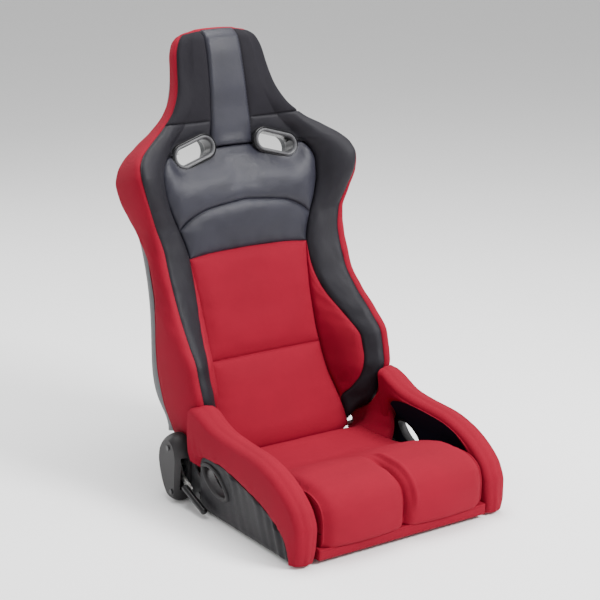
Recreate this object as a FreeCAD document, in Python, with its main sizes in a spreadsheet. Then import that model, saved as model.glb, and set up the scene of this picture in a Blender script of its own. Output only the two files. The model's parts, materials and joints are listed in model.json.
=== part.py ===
"""Reclining racing seat: steel base frame, upholstered cushion with side bolsters, and a
hinged bucket backrest with harness slots.

Row frame, in millimetres: +Z up, the seat faces -Y, and the sitter's left is +X. The origin is
the centre of the four mounting bosses, on the plane that they stand on. Backrest pieces are
modelled upright about the recliner axis (x across, y to the rear, z up the back) and their
Placement leans them back by the recline angle.
"""
import FreeCAD, Part
import math
import os
import Sketcher
from FreeCAD import Rotation, Vector

DOC = FreeCAD.newDocument("racing_seat")
SHEET = DOC.addObject("Spreadsheet::Sheet", "Params")
SIDES = (("left", 1), ("right", -1))
PIECES = []

DIMENSIONS = {
    # recliner axis and rest angle
    "pivot_y": 145, "pivot_z": 80, "recline": 16,
    # mounting bosses
    "mount_x": 210, "mount_y": 170, "boss_rad": 13, "boss_high": 6, "insert_rad": 3.4,
    "flange_hole_rad": 4.5, "nut_corner_rad": 7.5, "nut_high": 6.5,
    # side channels and cross tubes
    "rail_outer": 242, "rail_wide": 52, "rail_high": 40, "rail_wall": 2.5,
    "rail_front": -245, "rail_rear": 195, "tube_rad": 12.5, "tube_wall": 2,
    "front_tube_y": -215, "rear_tube_y": 98, "tube_z": 27,
    # seat pan
    "pan_wall": 1.5, "pan_half": 186, "pan_front": -255, "pan_rear": -40, "pan_lip": 26,
    "pan_bracket_front": -232,
    # recliners, counted outwards from the centre plane
    "arm_inner": 222, "arm_wall": 4, "disc_wall": 8, "disc_gap": 0.3, "disc_rad": 33,
    "bracket_wall": 5, "bracket_rad": 44, "shaft_rad": 5, "shaft_play": 0.05,
    "bush_rad": 9, "bush_long": 9, "disc_bore_rad": 6.5, "bolt_rad": 5, "bolt_hole_rad": 5.2,
    "bolt_front_y": 78, "bolt_rear_y": 158, "bolt_z": 27, "bolt_head_corner": 9.2,
    "bolt_head_high": 6.4, "cover_outer": 284, "cover_wall": 2.5, "screw_rad": 3,
    "screw_hole_rad": 3.2, "upper_screw_y": 146, "upper_screw_z": 118, "lower_screw_y": 136,
    "lower_screw_z": 24,
    # harness slots in the backrest
    "slot_x": 104, "slot_z": 640, "slot_tilt": 17, "slot_half_run": 28, "slot_rad": 17,
    "bezel_wall": 3, "bezel_lip": 8.5, "bezel_front": 4, "tunnel_split": 31, "dish_floor": 36.6,
    "dish_rad": 28,
    # upholstery of the base
    "cushion_half": 198, "panel_inner": 250, "panel_wall": 6, "bolster_inner": 208,
    "bolster_outer": 262, "base_low": 4,
    # backrest frame and pads
    "hoop_x": 210.8, "hoop_y": 46, "hoop_rad": 11, "hoop_wall": 2, "pad_back": 33,
    "bolster_back": 25, "pad_gap": 0.6, "side_gap": 2.5, "pad_low": 7, "shell_wall": 3,
}

# Backrest stations, from the recliner axis up: height, outer half width, crest of the bolster,
# half width of the centre panel, and depth of the seam beside it.
BACK_STATIONS = [
    (50, 240, -58, 161, -12), (90, 247, -81, 153, -6), (134, 258, -97, 145, 2),
    (190, 261, -98, 142, 9), (240, 256, -72, 140, 12), (300, 248, -38, 140, 13),
    (357, 243, -17, 143, 13), (430, 243, -12, 152, 11), (493, 251, -18, 170, 5),
    (545, 272, -46, 189, -2), (590, 281, -60, 192, -6), (630, 266, -44, 176, -2),
    (665, 226, -24, 158, 5), (694, 182, -12, 150, 8),
]
# Depth of the middle of the centre panel, from the foot of the back up: height, depth.
BACK_MIDDLE = [(7, -20), (50, -11), (90, -3), (134, 6), (190, 14), (240, 18), (300, 20),
               (357, 19), (430, 12), (493, -2), (545, -5), (590, 3), (630, 8), (665, 10), (694, 7)]
# Head stations: height, half width, depth of the edge and depth of the middle of the front.
HEAD_STATIONS = [
    (694, 178, -9, 6), (728, 144, -9, 2), (774, 123, -4, -6), (815, 115, 0, -11),
    (850, 110, 2, -14), (876, 100, 3, -14), (890, 84, 6, -10), (897, 56, 12, -4),
]
# Shell stations: height, half width of the rim, depth of the back.
SHELL_STATIONS = [
    (64, 241, 82), (134, 252, 84), (190, 256, 84), (240, 251, 82), (300, 243, 80),
    (357, 239, 77), (430, 239, 74), (493, 247, 72), (545, 266, 71), (590, 274, 71),
    (630, 260, 71), (665, 220, 71), (694, 178, 71), (728, 140, 70), (774, 119, 66),
    (815, 111, 60), (850, 106, 54), (876, 96, 48), (890, 80, 42),
]
# Side outline of the cushion bolster, (y, z), from the bottom of its nose over the top to the
# foot of its rear end, and then its underside back to the nose.
BOLSTER_TOP = [(-293, 6), (-297, 70), (-284, 106), (-246, 142), (-194, 168), (-136, 181),
               (-60, 184), (0, 192), (44, 208), (72, 218), (84, 206)]
BOLSTER_UNDER = [(79, 96), (58, 126), (-10, 126), (-96, 110), (-160, 94), (-210, 72),
                 (-250, 42), (-268, 8)]
# Side outline of a thigh pad, (y, z), over its top from the front hem to its rear edge.
THIGH_TOP = [(-291, 10), (-298, 66), (-297, 104), (-272, 130), (-228, 138), (-160, 131),
             (-100, 116), (-62, 107)]
THIGH_UNDER = [(-62, 49), (-258, 49), (-258, 10)]
SEAT_TOP = [(-61, 107), (-20, 102), (30, 99), (80, 98), (118, 90)]
SEAT_UNDER = [(118, 56), (-61, 53)]
COVER_CURVE = [(148, 146), (178, 132), (197, 94), (190, 48), (168, 12), (147, -1), (128, 4),
               (118, 28), (112, 62), (110, 102), (124, 136)]


def fill_sheet():
    """Writes every driving dimension to the sheet, under its own alias."""
    rows = list(DIMENSIONS.items())
    for table, names in ((BACK_STATIONS, ("back_z", "back_half", "crest", "panel_half", "seam")),
                         (HEAD_STATIONS, ("head_z", "head_half", "head_edge", "head_mid")),
                         (BACK_MIDDLE, ("mid_z", "mid_y")),
                         (SHELL_STATIONS, ("shell_z", "shell_half", "shell_deep"))):
        for i, station in enumerate(table):
            rows += [(f"{name}_{i:02d}", value) for name, value in zip(names, station)]
    for number, (alias, value) in enumerate(rows, start=1):
        SHEET.set(f"A{number}", alias)
        SHEET.set(f"B{number}", str(value))
        SHEET.setAlias(f"B{number}", alias)
    DOC.recompute()


fill_sheet()


def size(alias):
    return float(getattr(SHEET, alias))


def stations(table, *names):
    """Rows of a station table, read back from the sheet."""
    return [[size(f"{name}_{i:02d}") for name in names] for i in range(len(table))]


def number(expression):
    value = SHEET.evalExpression(expression.replace("Params.", ""))
    return float(getattr(value, "Value", value))


def keep(label, piece):
    """Names a finished piece and lists it for export."""
    piece.Label = label
    PIECES.append(piece)
    return piece


def lean(piece):
    """Places a piece modelled about the recliner axis into the row frame, at the rest angle."""
    piece.Placement.Rotation = Rotation(Vector(-1, 0, 0), size("recline"))
    piece.setExpression("Placement.Base.y", "Params.pivot_y")
    piece.setExpression("Placement.Base.z", "Params.pivot_z")
    piece.setExpression("Placement.Rotation.Angle", "Params.recline")
    return piece


# ---------------------------------------------------------------- PartDesign helpers

def new_body(label):
    return keep(label, DOC.addObject("PartDesign::Body", label))


def new_sketch(body, role, offset="0"):
    """A sketch on one of the body's origin planes, moved along its normal."""
    sketch = body.newObject("Sketcher::SketchObject", body.Label + "_sketch")
    plane = [f for f in body.Origin.OriginFeatures if f.Role == role][0]
    sketch.AttachmentSupport = (plane, [""])
    sketch.MapMode = "FlatFace"
    sketch.setExpression("AttachmentOffset.Base.z", offset)
    return sketch


def pin_point(sketch, geometry, end, across, up):
    """Holds a point of a sketch at two expressions."""
    for kind, expression in (("DistanceX", across), ("DistanceY", up)):
        index = sketch.addConstraint(
            Sketcher.Constraint(kind, geometry, end, number(expression)))
        sketch.setExpression(f"Constraints[{index}]", expression)


def polygon(sketch, corners):
    """Closed outline whose corners are pairs of expressions."""
    first = sketch.GeometryCount
    places = [Vector(number(a), number(b), 0) for a, b in corners]
    for i, place in enumerate(places):
        sketch.addGeometry(Part.LineSegment(place, places[(i + 1) % len(places)]), False)
    for i, corner in enumerate(corners):
        after = first + (i + 1) % len(corners)
        sketch.addConstraint(Sketcher.Constraint("Coincident", first + i, 2, after, 1))
        pin_point(sketch, first + i, 1, *corner)


def circle(sketch, across, up, radius):
    centre = Vector(number(across), number(up), 0)
    index = sketch.addGeometry(Part.Circle(centre, Vector(0, 0, 1), number(radius)), False)
    pin_point(sketch, index, 3, across, up)
    held = sketch.addConstraint(Sketcher.Constraint("Radius", index, number(radius)))
    sketch.setExpression(f"Constraints[{held}]", radius)


def pad(body, sketch, length):
    feature = body.newObject("PartDesign::Pad", body.Label + "_pad")
    feature.Profile = sketch
    feature.setExpression("Length", length)
    DOC.recompute()
    return feature


def pocket(body, sketch, length, reverse=False):
    """Cuts the sketch into the body, and stops if it removed nothing."""
    before = body.Shape.Volume
    feature = body.newObject("PartDesign::Pocket", body.Label + "_pocket")
    feature.Profile = sketch
    feature.Reversed = reverse
    feature.setExpression("Length", length)
    DOC.recompute()
    if body.Shape.Volume > before - 1e-6:
        raise RuntimeError(f"{body.Label}: the pocket cut nothing")
    return feature


def side_offset(inner, thick, sign):
    """The lower x of a plate that is thick outwards from inner, on either side."""
    return inner if sign > 0 else f"-({inner}) - ({thick})"


def side_plate(label, inner, thick, sign, outlines, holes):
    """A plate square to x: outlines are padded together, then the round holes are cut."""
    body = new_body(label)
    low = side_offset(inner, thick, sign)
    for kind, outline in outlines:
        sketch = new_sketch(body, "YZ_Plane", low)
        kind(sketch, *outline)
        pad(body, sketch, thick)
    if holes:
        sketch = new_sketch(body, "YZ_Plane", low)
        for hole in holes:
            circle(sketch, *hole)
        pocket(body, sketch, thick, reverse=True)
    return body


# ---------------------------------------------------------------- Part helpers

def cylinder(name, radius, length, axis="z"):
    """A Part::Cylinder bound to the sheet, along z or x; place() puts it somewhere."""
    piece = DOC.addObject("Part::Cylinder", name)
    piece.setExpression("Radius", radius)
    piece.setExpression("Height", length)
    if axis == "x":
        piece.Placement.Rotation = Rotation(Vector(0, 1, 0), 90)
    return piece


def place(piece, across="0", deep="0", up="0"):
    for letter, expression in zip("xyz", (across, deep, up)):
        piece.setExpression(f"Placement.Base.{letter}", expression)
    return piece


def hexagon(name, corner, height, axis="z"):
    piece = DOC.addObject("Part::Prism", name)
    piece.Polygon = 6
    piece.setExpression("Circumradius", corner)
    piece.setExpression("Height", height)
    if axis == "x":
        piece.Placement.Rotation = Rotation(Vector(0, 1, 0), 90)
    return piece


def cut(name, base, tool):
    piece = DOC.addObject("Part::Cut", name)
    piece.Base = base
    piece.Tool = tool
    return piece


def fuse(name, *pieces):
    piece = DOC.addObject("Part::MultiFuse", name)
    piece.Shapes = list(pieces)
    return piece


def group(label, pieces):
    """Identical separate solids in one node."""
    compound = DOC.addObject("Part::Compound", label)
    compound.Links = pieces
    return keep(label, compound)


def shaped(label, shape):
    """A piece whose outline is free-form, made with Part's own functions."""
    piece = DOC.addObject("Part::Feature", label)
    piece.Shape = shape
    return keep(label, piece)


def spline(points, first=None, last=None):
    curve = Part.BSplineCurve()
    if first is None:
        curve.interpolate(points)
    else:
        curve.interpolate(Points=points, InitialTangent=first, FinalTangent=last)
    return curve.toShape()


def line(a, b):
    return Part.LineSegment(a, b).toShape()


def rounded_wire(points, radius):
    """Straight runs joined by tangent arcs of one radius."""
    edges, start = [], points[0]
    for before, corner, after in zip(points, points[1:], points[2:]):
        come = (before - corner).normalize()
        go = (after - corner).normalize()
        turn = math.pi - come.getAngle(go)
        back = radius * math.tan(turn / 2)
        enter, leave = corner + come * back, corner + go * back
        middle = (come + go).normalize()
        reach = radius / math.cos(turn / 2) - radius
        edges.append(line(start, enter))
        edges.append(Part.Arc(enter, corner + middle * reach, leave).toShape())
        start = leave
    edges.append(line(start, points[-1]))
    return Part.Wire(edges)


def swept(path, *radii):
    """A round bar along a wire, or a tube when a second, inner radius is given."""
    start = path.Edges[0].valueAt(path.Edges[0].FirstParameter)
    along = path.Edges[0].tangentAt(path.Edges[0].FirstParameter)
    solids = []
    for radius in radii:
        ring = Part.Wire([Part.Circle(start, along, radius).toShape()])
        solids.append(path.makePipeShell([ring], True, False))
    return solids[0] if len(solids) == 1 else solids[0].cut(solids[1])


def zigzag(across, pitch, turns, radius):
    """A flat zigzag wire that runs up z, its loops reaching across on x."""
    points = [Vector(0, 0, 0)]
    for i in range(turns):
        side = across / 2 if i % 2 else -across / 2
        points += [Vector(side, 0, i * pitch + pitch / 2), Vector(side, 0, (i + 1) * pitch)]
    points.append(Vector(0, 0, turns * pitch + pitch / 2))
    return swept(rounded_wire(points, pitch * 0.22), radius)


def outline_solid(top, under, low, high):
    """An outline in y and z, smooth over the top and square at its ends, from x low to high."""
    upper = [Vector(low, y, z) for y, z in top]
    lower = [Vector(low, y, z) for y, z in under]
    if len(under) > 3:
        below = [spline(lower)]
    else:
        below = [line(a, b) for a, b in zip(lower, lower[1:])]
    rim = [spline(upper), line(upper[-1], lower[0])] + below + [line(lower[-1], upper[0])]
    return Part.Face(Part.Wire(rim)).extrude(Vector(high - low, 0, 0))


def stadium(half_run, radius, low, high):
    """A slot-shaped prism along y, about the origin."""
    a, b = Vector(-half_run, low, radius), Vector(half_run, low, radius)
    c, d = Vector(half_run, low, -radius), Vector(-half_run, low, -radius)
    right = Part.Arc(b, Vector(half_run + radius, low, 0), c).toShape()
    left = Part.Arc(d, Vector(-half_run - radius, low, 0), a).toShape()
    face = Part.Face(Part.Wire([line(a, b), right, line(c, d), left]))
    return face.extrude(Vector(0, high - low, 0))


def at_slot(shape, sign):
    """Moves a shape from the origin to the harness slot of one side, outer end lower."""
    turn = Rotation(Vector(0, 1, 0), sign * size("slot_tilt"))
    move = FreeCAD.Placement(Vector(sign * size("slot_x"), 0, size("slot_z")), turn)
    return shape.transformed(move.toMatrix(), True)


def slot_prisms(radius, low, high=130):
    """Slot-shaped prisms of one radius about both harness tunnels, between two depths."""
    tools = [at_slot(stadium(size("slot_half_run"), radius, low, high), s) for _, s in SIDES]
    return tools[0].fuse(tools[1])


def slot_tools(extra):
    """Prisms that clear both harness tunnels, with room around their walls."""
    return slot_prisms(size("slot_rad") + size("bezel_wall") + extra, -90)


# ---------------------------------------------------------------- base frame

def side_channels():
    """Two pressed channels, open to the middle, with a hole at each mounting boss."""
    for side, sign in SIDES:
        body = new_body(f"side_channel_{side}")
        out, wide = f"{sign} * Params.rail_outer", f"{sign} * Params.rail_wide"
        wall = f"{sign} * Params.rail_wall"
        low, top = "Params.boss_high", "Params.boss_high + Params.rail_high"
        sketch = new_sketch(body, "XZ_Plane", "-Params.rail_rear")
        polygon(sketch, [
            (out, low), (out, top), (f"{out} - {wide}", top),
            (f"{out} - {wide}", f"{top} - Params.rail_wall"),
            (f"{out} - {wall}", f"{top} - Params.rail_wall"),
            (f"{out} - {wall}", f"{low} + Params.rail_wall"),
            (f"{out} - {wide}", f"{low} + Params.rail_wall"), (f"{out} - {wide}", low)])
        pad(body, sketch, "Params.rail_rear - Params.rail_front")
        holes = new_sketch(body, "XY_Plane")
        for y in ("Params.mount_y", "-Params.mount_y"):
            circle(holes, f"{sign} * Params.mount_x", y, "Params.flange_hole_rad")
        pocket(body, holes, "Params.boss_high * 3", reverse=True)
        bolts = new_sketch(body, "YZ_Plane", side_offset("Params.rail_outer - 6", "6", sign))
        for y in ("Params.bolt_front_y", "Params.bolt_rear_y"):
            circle(bolts, y, "Params.bolt_z", "Params.bolt_hole_rad")
        pocket(body, bolts, "6", reverse=True)


def cross_tubes():
    for name, y in (("front_cross_tube", "Params.front_tube_y"),
                    ("rear_cross_tube", "Params.rear_tube_y")):
        reach = "Params.rail_outer - Params.rail_wall"
        outer = cylinder(name + "_outer", "Params.tube_rad", f"2 * ({reach})", "x")
        inner = cylinder(name + "_inner", "Params.tube_rad - Params.tube_wall",
                         f"2 * ({reach})", "x")
        for piece in (outer, inner):
            place(piece, f"-({reach})", y, "Params.tube_z")
        keep(name, cut(name, outer, inner))


def mounting():
    """Four threaded bosses under the channels and the weld nuts above them."""
    bosses, nuts = [], []
    for x, y in ((a, b) for a in (1, -1) for b in (1, -1)):
        spot = (f"{x} * Params.mount_x", f"{y} * Params.mount_y")
        boss = cut("boss", cylinder("boss_body", "Params.boss_rad", "Params.boss_high"),
                   cylinder("boss_bore", "Params.insert_rad", "Params.boss_high"))
        nut = cut("nut", hexagon("nut_body", "Params.nut_corner_rad", "Params.nut_high"),
                  cylinder("nut_bore", "Params.insert_rad", "Params.nut_high"))
        bosses.append(place(boss, *spot))
        nuts.append(place(nut, *spot, "Params.boss_high + Params.rail_wall"))
    group("mounting_bosses", bosses)
    group("weld_nuts", nuts)


def seat_pan():
    """Pressed pan under the thighs, with a front lip that hooks over the channels' ends."""
    body = new_body("seat_pan")
    floor = "Params.boss_high + Params.rail_high"
    sketch = new_sketch(body, "YZ_Plane", "-Params.pan_half")
    polygon(sketch, [
        ("Params.pan_front", f"{floor} - Params.pan_lip"),
        ("Params.pan_front + Params.pan_wall", f"{floor} - Params.pan_lip"),
        ("Params.pan_front + Params.pan_wall", floor), ("Params.pan_rear", floor),
        ("Params.pan_rear", f"{floor} + Params.pan_wall"),
        ("Params.pan_front", f"{floor} + Params.pan_wall")])
    pad(body, sketch, "2 * Params.pan_half")
    slots = new_sketch(body, "XY_Plane")
    for x in (-120, -40, 40, 120):
        circle(slots, str(x), "(Params.pan_front + Params.pan_rear) / 2", "14")
    pocket(body, slots, "60", reverse=True)


def pan_brackets():
    """Angles that carry the pan on the channels, one along each side."""
    for side, sign in SIDES:
        body = new_body(f"pan_bracket_{side}")
        near, far = "Params.pan_half", "Params.rail_outer - 8"
        top = "Params.boss_high + Params.rail_high"
        sketch = new_sketch(body, "XZ_Plane", "-Params.pan_rear")
        polygon(sketch, [
            (f"{sign} * (Params.pan_half + 0.2)", top), (f"{sign} * ({far})", top),
            (f"{sign} * ({far})", f"{top} + 2"), (f"{sign} * (Params.pan_half + 0.2)", f"{top} + 2")])
        pad(body, sketch, "Params.pan_rear - Params.pan_bracket_front")


def seat_springs():
    """Five zigzag wires from the pan's rear edge down to the rear cross tube."""
    wire = 1.5
    start = Vector(0, size("pan_rear") - 8, size("boss_high") + size("rail_high")
                   + size("pan_wall") + wire + 0.2)
    end = Vector(0, size("rear_tube_y") + 6, size("tube_z") + size("tube_rad") + wire + 0.2)
    turns = 6
    run = zigzag(46, (end - start).Length / (turns + 0.5), turns, wire)
    run.Placement = FreeCAD.Placement(start, Rotation(Vector(0, 0, 1), end - start))
    wires = []
    for i in range(-2, 3):
        each = run.copy()
        each.translate(Vector(i * 70, 0, 0))
        wires.append(each)
    shaped("seat_springs", Part.makeCompound(wires))


# ---------------------------------------------------------------- recliners

def recliners():
    """Per side: base bracket, fixed and moving discs, bush, bolts and the backrest's arm."""
    bolts = []
    fixed_in = "Params.rail_outer - Params.disc_wall + Params.disc_gap"
    for side, sign in SIDES:
        pivot = ("Params.pivot_y", "Params.pivot_z")
        foot = [("30", "12"), ("190", "12"), ("190", "62"), ("182", "104"), ("108", "104"),
                ("98", "78"), ("30", "36")]
        side_plate(
            f"recliner_bracket_{side}", "Params.rail_outer", "Params.bracket_wall", sign,
            [(polygon, (foot,)), (circle, (*pivot, "Params.bracket_rad"))],
            [(*pivot, "Params.bush_rad"),
             ("Params.bolt_front_y", "Params.bolt_z", "Params.bolt_hole_rad"),
             ("Params.bolt_rear_y", "Params.bolt_z", "Params.bolt_hole_rad"),
             ("Params.upper_screw_y", "Params.upper_screw_z", "Params.screw_hole_rad"),
             ("Params.lower_screw_y", "Params.lower_screw_z", "Params.screw_hole_rad")])
        side_plate(f"fixed_disc_{side}", fixed_in, "Params.disc_wall - Params.disc_gap", sign,
                   [(circle, (*pivot, "Params.disc_rad"))], [(*pivot, "Params.bush_rad")])
        moving_in = "Params.arm_inner + Params.arm_wall"
        moving = side_plate(
            f"moving_disc_{side}", moving_in, "Params.disc_wall", sign,
            [(circle, ("0", "0", "Params.disc_rad"))], [("0", "0", "Params.disc_bore_rad")])
        arm_outline = [("-24", "20"), ("26", "18"), ("62", "58"), ("62", "330"), ("36", "330"),
                       ("36", "52"), ("10", "44"), ("-14", "36")]
        arm = side_plate(
            f"backrest_arm_{side}", "Params.arm_inner", "Params.arm_wall", sign,
            [(circle, ("0", "0", "Params.disc_rad")), (polygon, (arm_outline,))],
            [("0", "0", "Params.disc_bore_rad")])
        lean(moving)
        lean(arm)
        bush_low = side_offset("Params.rail_outer - 4", "Params.bush_long", sign)
        bush = cut(f"bush_{side}", cylinder("bush_body", "Params.bush_rad", "Params.bush_long", "x"),
                   cylinder("bush_bore", "Params.shaft_rad + Params.shaft_play",
                            "Params.bush_long", "x"))
        keep(f"shaft_bush_{side}", place(bush, bush_low, *pivot))
        for y in ("Params.bolt_front_y", "Params.bolt_rear_y"):
            shank_in = "Params.rail_outer - Params.rail_wall - 8"
            shank = place(cylinder("bolt_shank", "Params.bolt_rad",
                                   "8 + Params.rail_wall + Params.bracket_wall", "x"),
                          side_offset(shank_in, "8 + Params.rail_wall + Params.bracket_wall", sign),
                          y, "Params.bolt_z")
            head_in = "Params.rail_outer + Params.bracket_wall"
            head = place(hexagon("bolt_head", "Params.bolt_head_corner",
                                 "Params.bolt_head_high", "x"),
                         side_offset(head_in, "Params.bolt_head_high", sign),
                         y, "Params.bolt_z")
            bolts.append(fuse("bracket_bolt", shank, head))
    group("bracket_bolts", bolts)


def cover_outline(inset, x):
    """Closed kidney-shaped outline of the recliner cover, drawn in by inset."""
    centre = Vector(x, 150, 76)
    points = []
    for y, z in COVER_CURVE:
        out = Vector(x, y, z) - centre
        points.append(centre + out * (1 - inset / out.Length))
    curve = Part.BSplineCurve()
    curve.interpolate(points, PeriodicFlag=True)
    return Part.Wire([curve.toShape()])


def on_side(shape, sign):
    """A shape made for the left side, or its mirror image for the right."""
    return shape if sign > 0 else shape.mirror(Vector(0, 0, 0), Vector(1, 0, 0))


def cover_loft(start, outer, inset):
    layers = ((start, 2), (start + 12, 0), (outer - 12, 3), (outer, 12))
    return Part.makeLoft([cover_outline(edge + inset, x) for x, edge in layers], True)


def recliner_covers():
    """Moulded covers, open towards the brackets; the lever leaves the right one by a slot."""
    screws = []
    start = size("rail_outer") + size("bracket_wall") + 0.3
    outer, wall = size("cover_outer"), size("cover_wall")
    for side, sign in SIDES:
        shell = cover_loft(start, outer, 0).cut(cover_loft(start - 0.2, outer - wall, wall))
        shell = shell.cut(cover_loft(start - 2, start, wall + 2))
        if sign < 0:
            shell = shell.cut(Part.makeBox(16, 32, 72, Vector(257, 96, 30)))
        for level in ("upper", "lower"):
            y, z = size(f"{level}_screw_y"), size(f"{level}_screw_z")
            at, out = Vector(start - 4.5, y, z), Vector(1, 0, 0)
            shell = shell.cut(Part.makeCylinder(size("screw_hole_rad"), 60, at, out))
            head = Part.makeCylinder(5.5, 2.6, Vector(outer, y, z), out)
            shank = Part.makeCylinder(size("screw_rad"), outer - at.x, at, out)
            screws.append(on_side(shank.fuse(head), sign))
        shaped(f"recliner_cover_{side}", on_side(shell, sign))
    shaped("cover_screws", Part.makeCompound(screws))


def assist_springs():
    """Flat spiral springs that help the backrest up, outside each bracket."""
    for side, sign in SIDES:
        start = size("rail_outer") + size("bracket_wall") + 1.2
        turns, step, points = 2.5, 5.2, []
        count = int(turns * 12)
        for i in range(count + 1):
            angle = 2 * math.pi * turns * i / count
            radius = 12.5 + step * turns * i / count
            points.append(Vector(start + 4, size("pivot_y") + radius * math.cos(angle),
                                 size("pivot_z") + radius * math.sin(angle)))
        path = Part.Wire([spline(points)])
        centre = points[0]
        half_wide, half_thick = 3.5, 0.9
        corners = [centre + Vector(a * half_wide, b * half_thick, 0)
                   for a, b in ((-1, -1), (1, -1), (1, 1), (-1, 1))]
        ring = Part.makePolygon(corners + corners[:1])
        coil = path.makePipeShell([ring], True, False)
        shaped(f"assist_spring_{side}", on_side(coil, sign))


def release_gear():
    """Shaft through both recliners, turned by the lever on the sitter's right."""
    reach = size("rail_outer") + size("bracket_wall") + 20
    shaft = place(cylinder("release_shaft", "Params.shaft_rad", f"{2 * reach}", "x"),
                  str(-reach), "Params.pivot_y", "Params.pivot_z")
    keep("release_shaft", shaft)
    body = new_body("release_lever")
    sketch = new_sketch(body, "YZ_Plane", str(-reach + 1))
    polygon(sketch, [("145", "71"), ("152", "88"), ("136", "90"), ("120", "62"), ("84", "42"),
                     ("88", "32"), ("128", "50")])
    pad(body, sketch, "5")
    bore = new_sketch(body, "YZ_Plane", str(-reach + 1))
    circle(bore, "Params.pivot_y", "Params.pivot_z", "Params.shaft_rad")
    pocket(body, bore, "5", reverse=True)


def lever_grip():
    """Round grip along the front of the lever, slotted over the lever's plate."""
    foot, tip = Vector(-271, 103, 42), Vector(-271, 27, 15)
    along = tip - foot
    grip = Part.makeCylinder(7, along.Length, foot, along)
    plate = Part.makeBox(5.4, 60, 80, Vector(-266.2, 82, 0))
    shaped("lever_grip", grip.fuse(Part.makeSphere(7, tip)).cut(plate))


# ---------------------------------------------------------------- base upholstery

def belt_lens(grow, low, high):
    """Prism through the lap-belt opening: two arcs that meet in points, leaning forward."""
    rise, turn = 18 + grow, math.radians(24.6)
    reach = 48 + grow * 1.6

    def spot(a, b):
        return Vector(low, 4 + a * math.cos(turn) - b * math.sin(turn),
                      83 + a * math.sin(turn) + b * math.cos(turn))
    over = Part.Arc(spot(-reach, 0), spot(0, rise), spot(reach, 0)).toShape()
    below = Part.Arc(spot(reach, 0), spot(0, -rise), spot(-reach, 0)).toShape()
    return Part.Face(Part.Wire([over, below])).extrude(Vector(high - low, 0, 0))


def polygon_prism(corners, start, along):
    """Prism over a closed polygon whose corners are vectors from start."""
    points = [start + c for c in corners]
    return Part.Face(Part.makePolygon(points + points[:1])).extrude(along)


def belt_recess(corners, low, high):
    return polygon_prism([Vector(x, 0, z) for x, z in corners], Vector(0, low, 0),
                         Vector(0, high - low, 0))


def cushion():
    """Two thigh pads, the flatter pad behind them, and on each side a raised bolster whose
    inner cheek runs down to the pan beside the sitter's hips."""
    half = size("cushion_half")
    hollow = belt_recess([(207, 0), (207, 150), (236, 123), (246, 118), (246, 0)], -222, 60)
    cheek = [(42, 52), (42, 150), (82, 150), (84, 126), (120, 96), (120, 52)]
    cheek = polygon_prism([Vector(0, y, z) for y, z in cheek], Vector(208, 0, 0), Vector(7, 0, 0))
    for side, sign in SIDES:
        thigh = outline_solid(THIGH_TOP, THIGH_UNDER, 0.6, half)
        shaped(f"thigh_pad_{side}", on_side(thigh, sign))
        bolster = outline_solid(BOLSTER_TOP, BOLSTER_UNDER, size("bolster_inner"),
                                size("bolster_outer"))
        shaped(f"cushion_bolster_{side}", on_side(bolster.cut(hollow).fuse(cheek), sign))
    shaped("seat_pad", outline_solid(SEAT_TOP, SEAT_UNDER, -half, half))


def side_trim():
    """Per side: outer vinyl panel, lining of the belt recess and the belt opening's bezel."""
    inner, wall = size("panel_inner"), size("panel_wall")
    low = size("base_low")
    rim = [(-266, low), (-252, 36), (-212, 66), (-160, 88), (-96, 104), (-10, 120), (52, 120),
           (64, 100), (64, low)]
    skin = [(206, 147), (236.5, 119), (243, 113), (243, 56), (240.5, 56), (240.5, 111),
            (235, 116), (206, 143.5)]
    for side, sign in SIDES:
        panel = polygon_prism([Vector(0, y, z) for y, z in rim], Vector(inner, 0, 0),
                              Vector(wall, 0, 0))
        shaped(f"side_panel_{side}", on_side(panel.cut(belt_lens(3.3, 240, 270)), sign))
        lining = belt_recess(skin, -218, 41.5).cut(belt_lens(3.3, 230, 260))
        shaped(f"belt_lining_{side}", on_side(lining, sign))
        sleeve = belt_lens(3, 239, inner + wall + 2)
        lip = belt_lens(7, inner + wall + 0.3, inner + wall + 4)
        bezel = sleeve.fuse(lip).cut(belt_lens(0, 230, 270))
        shaped(f"belt_bezel_{side}", on_side(bezel, sign))


# ---------------------------------------------------------------- backrest frame

def back_frame():
    """Bent tube hoop, two cross bars and the springs that carry the pad."""
    x, y = size("hoop_x"), size("hoop_y")
    path = rounded_wire([Vector(a, y, b) for a, b in (
        (-x, 60), (-x, 630), (-84, 756), (-84, 800), (84, 800), (84, 756), (x, 630), (x, 60))], 15)
    rad, wall = size("hoop_rad"), size("hoop_wall")
    lean(shaped("back_hoop", swept(path, rad, rad - wall)))
    reach = x - rad - 0.1
    bars = []
    for z in (120, 500):
        bar = Part.makeCylinder(9, 2 * reach, Vector(-reach, y, z), Vector(1, 0, 0))
        bar = bar.cut(Part.makeCylinder(7, 2 * reach, Vector(-reach, y, z), Vector(1, 0, 0)))
        for a in (-120, 120):
            bar = bar.cut(Part.makeCylinder(2.6, 20, Vector(a, y, z), Vector(0, 1, 0)))
        bars.append(bar)
    lean(shaped("back_cross_bars", Part.makeCompound(bars)))
    wire, turns = 1.5, 14
    run = zigzag(56, 380 / (turns + 0.5), turns, wire)
    run.translate(Vector(0, y - 9 - wire - 0.3, 120))
    wires = []
    for a in (-90, 0, 90):
        each = run.copy()
        each.translate(Vector(a, 0, 0))
        wires.append(each)
    lean(shaped("back_springs", Part.makeCompound(wires)))


# ---------------------------------------------------------------- backrest shell and pads

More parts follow.
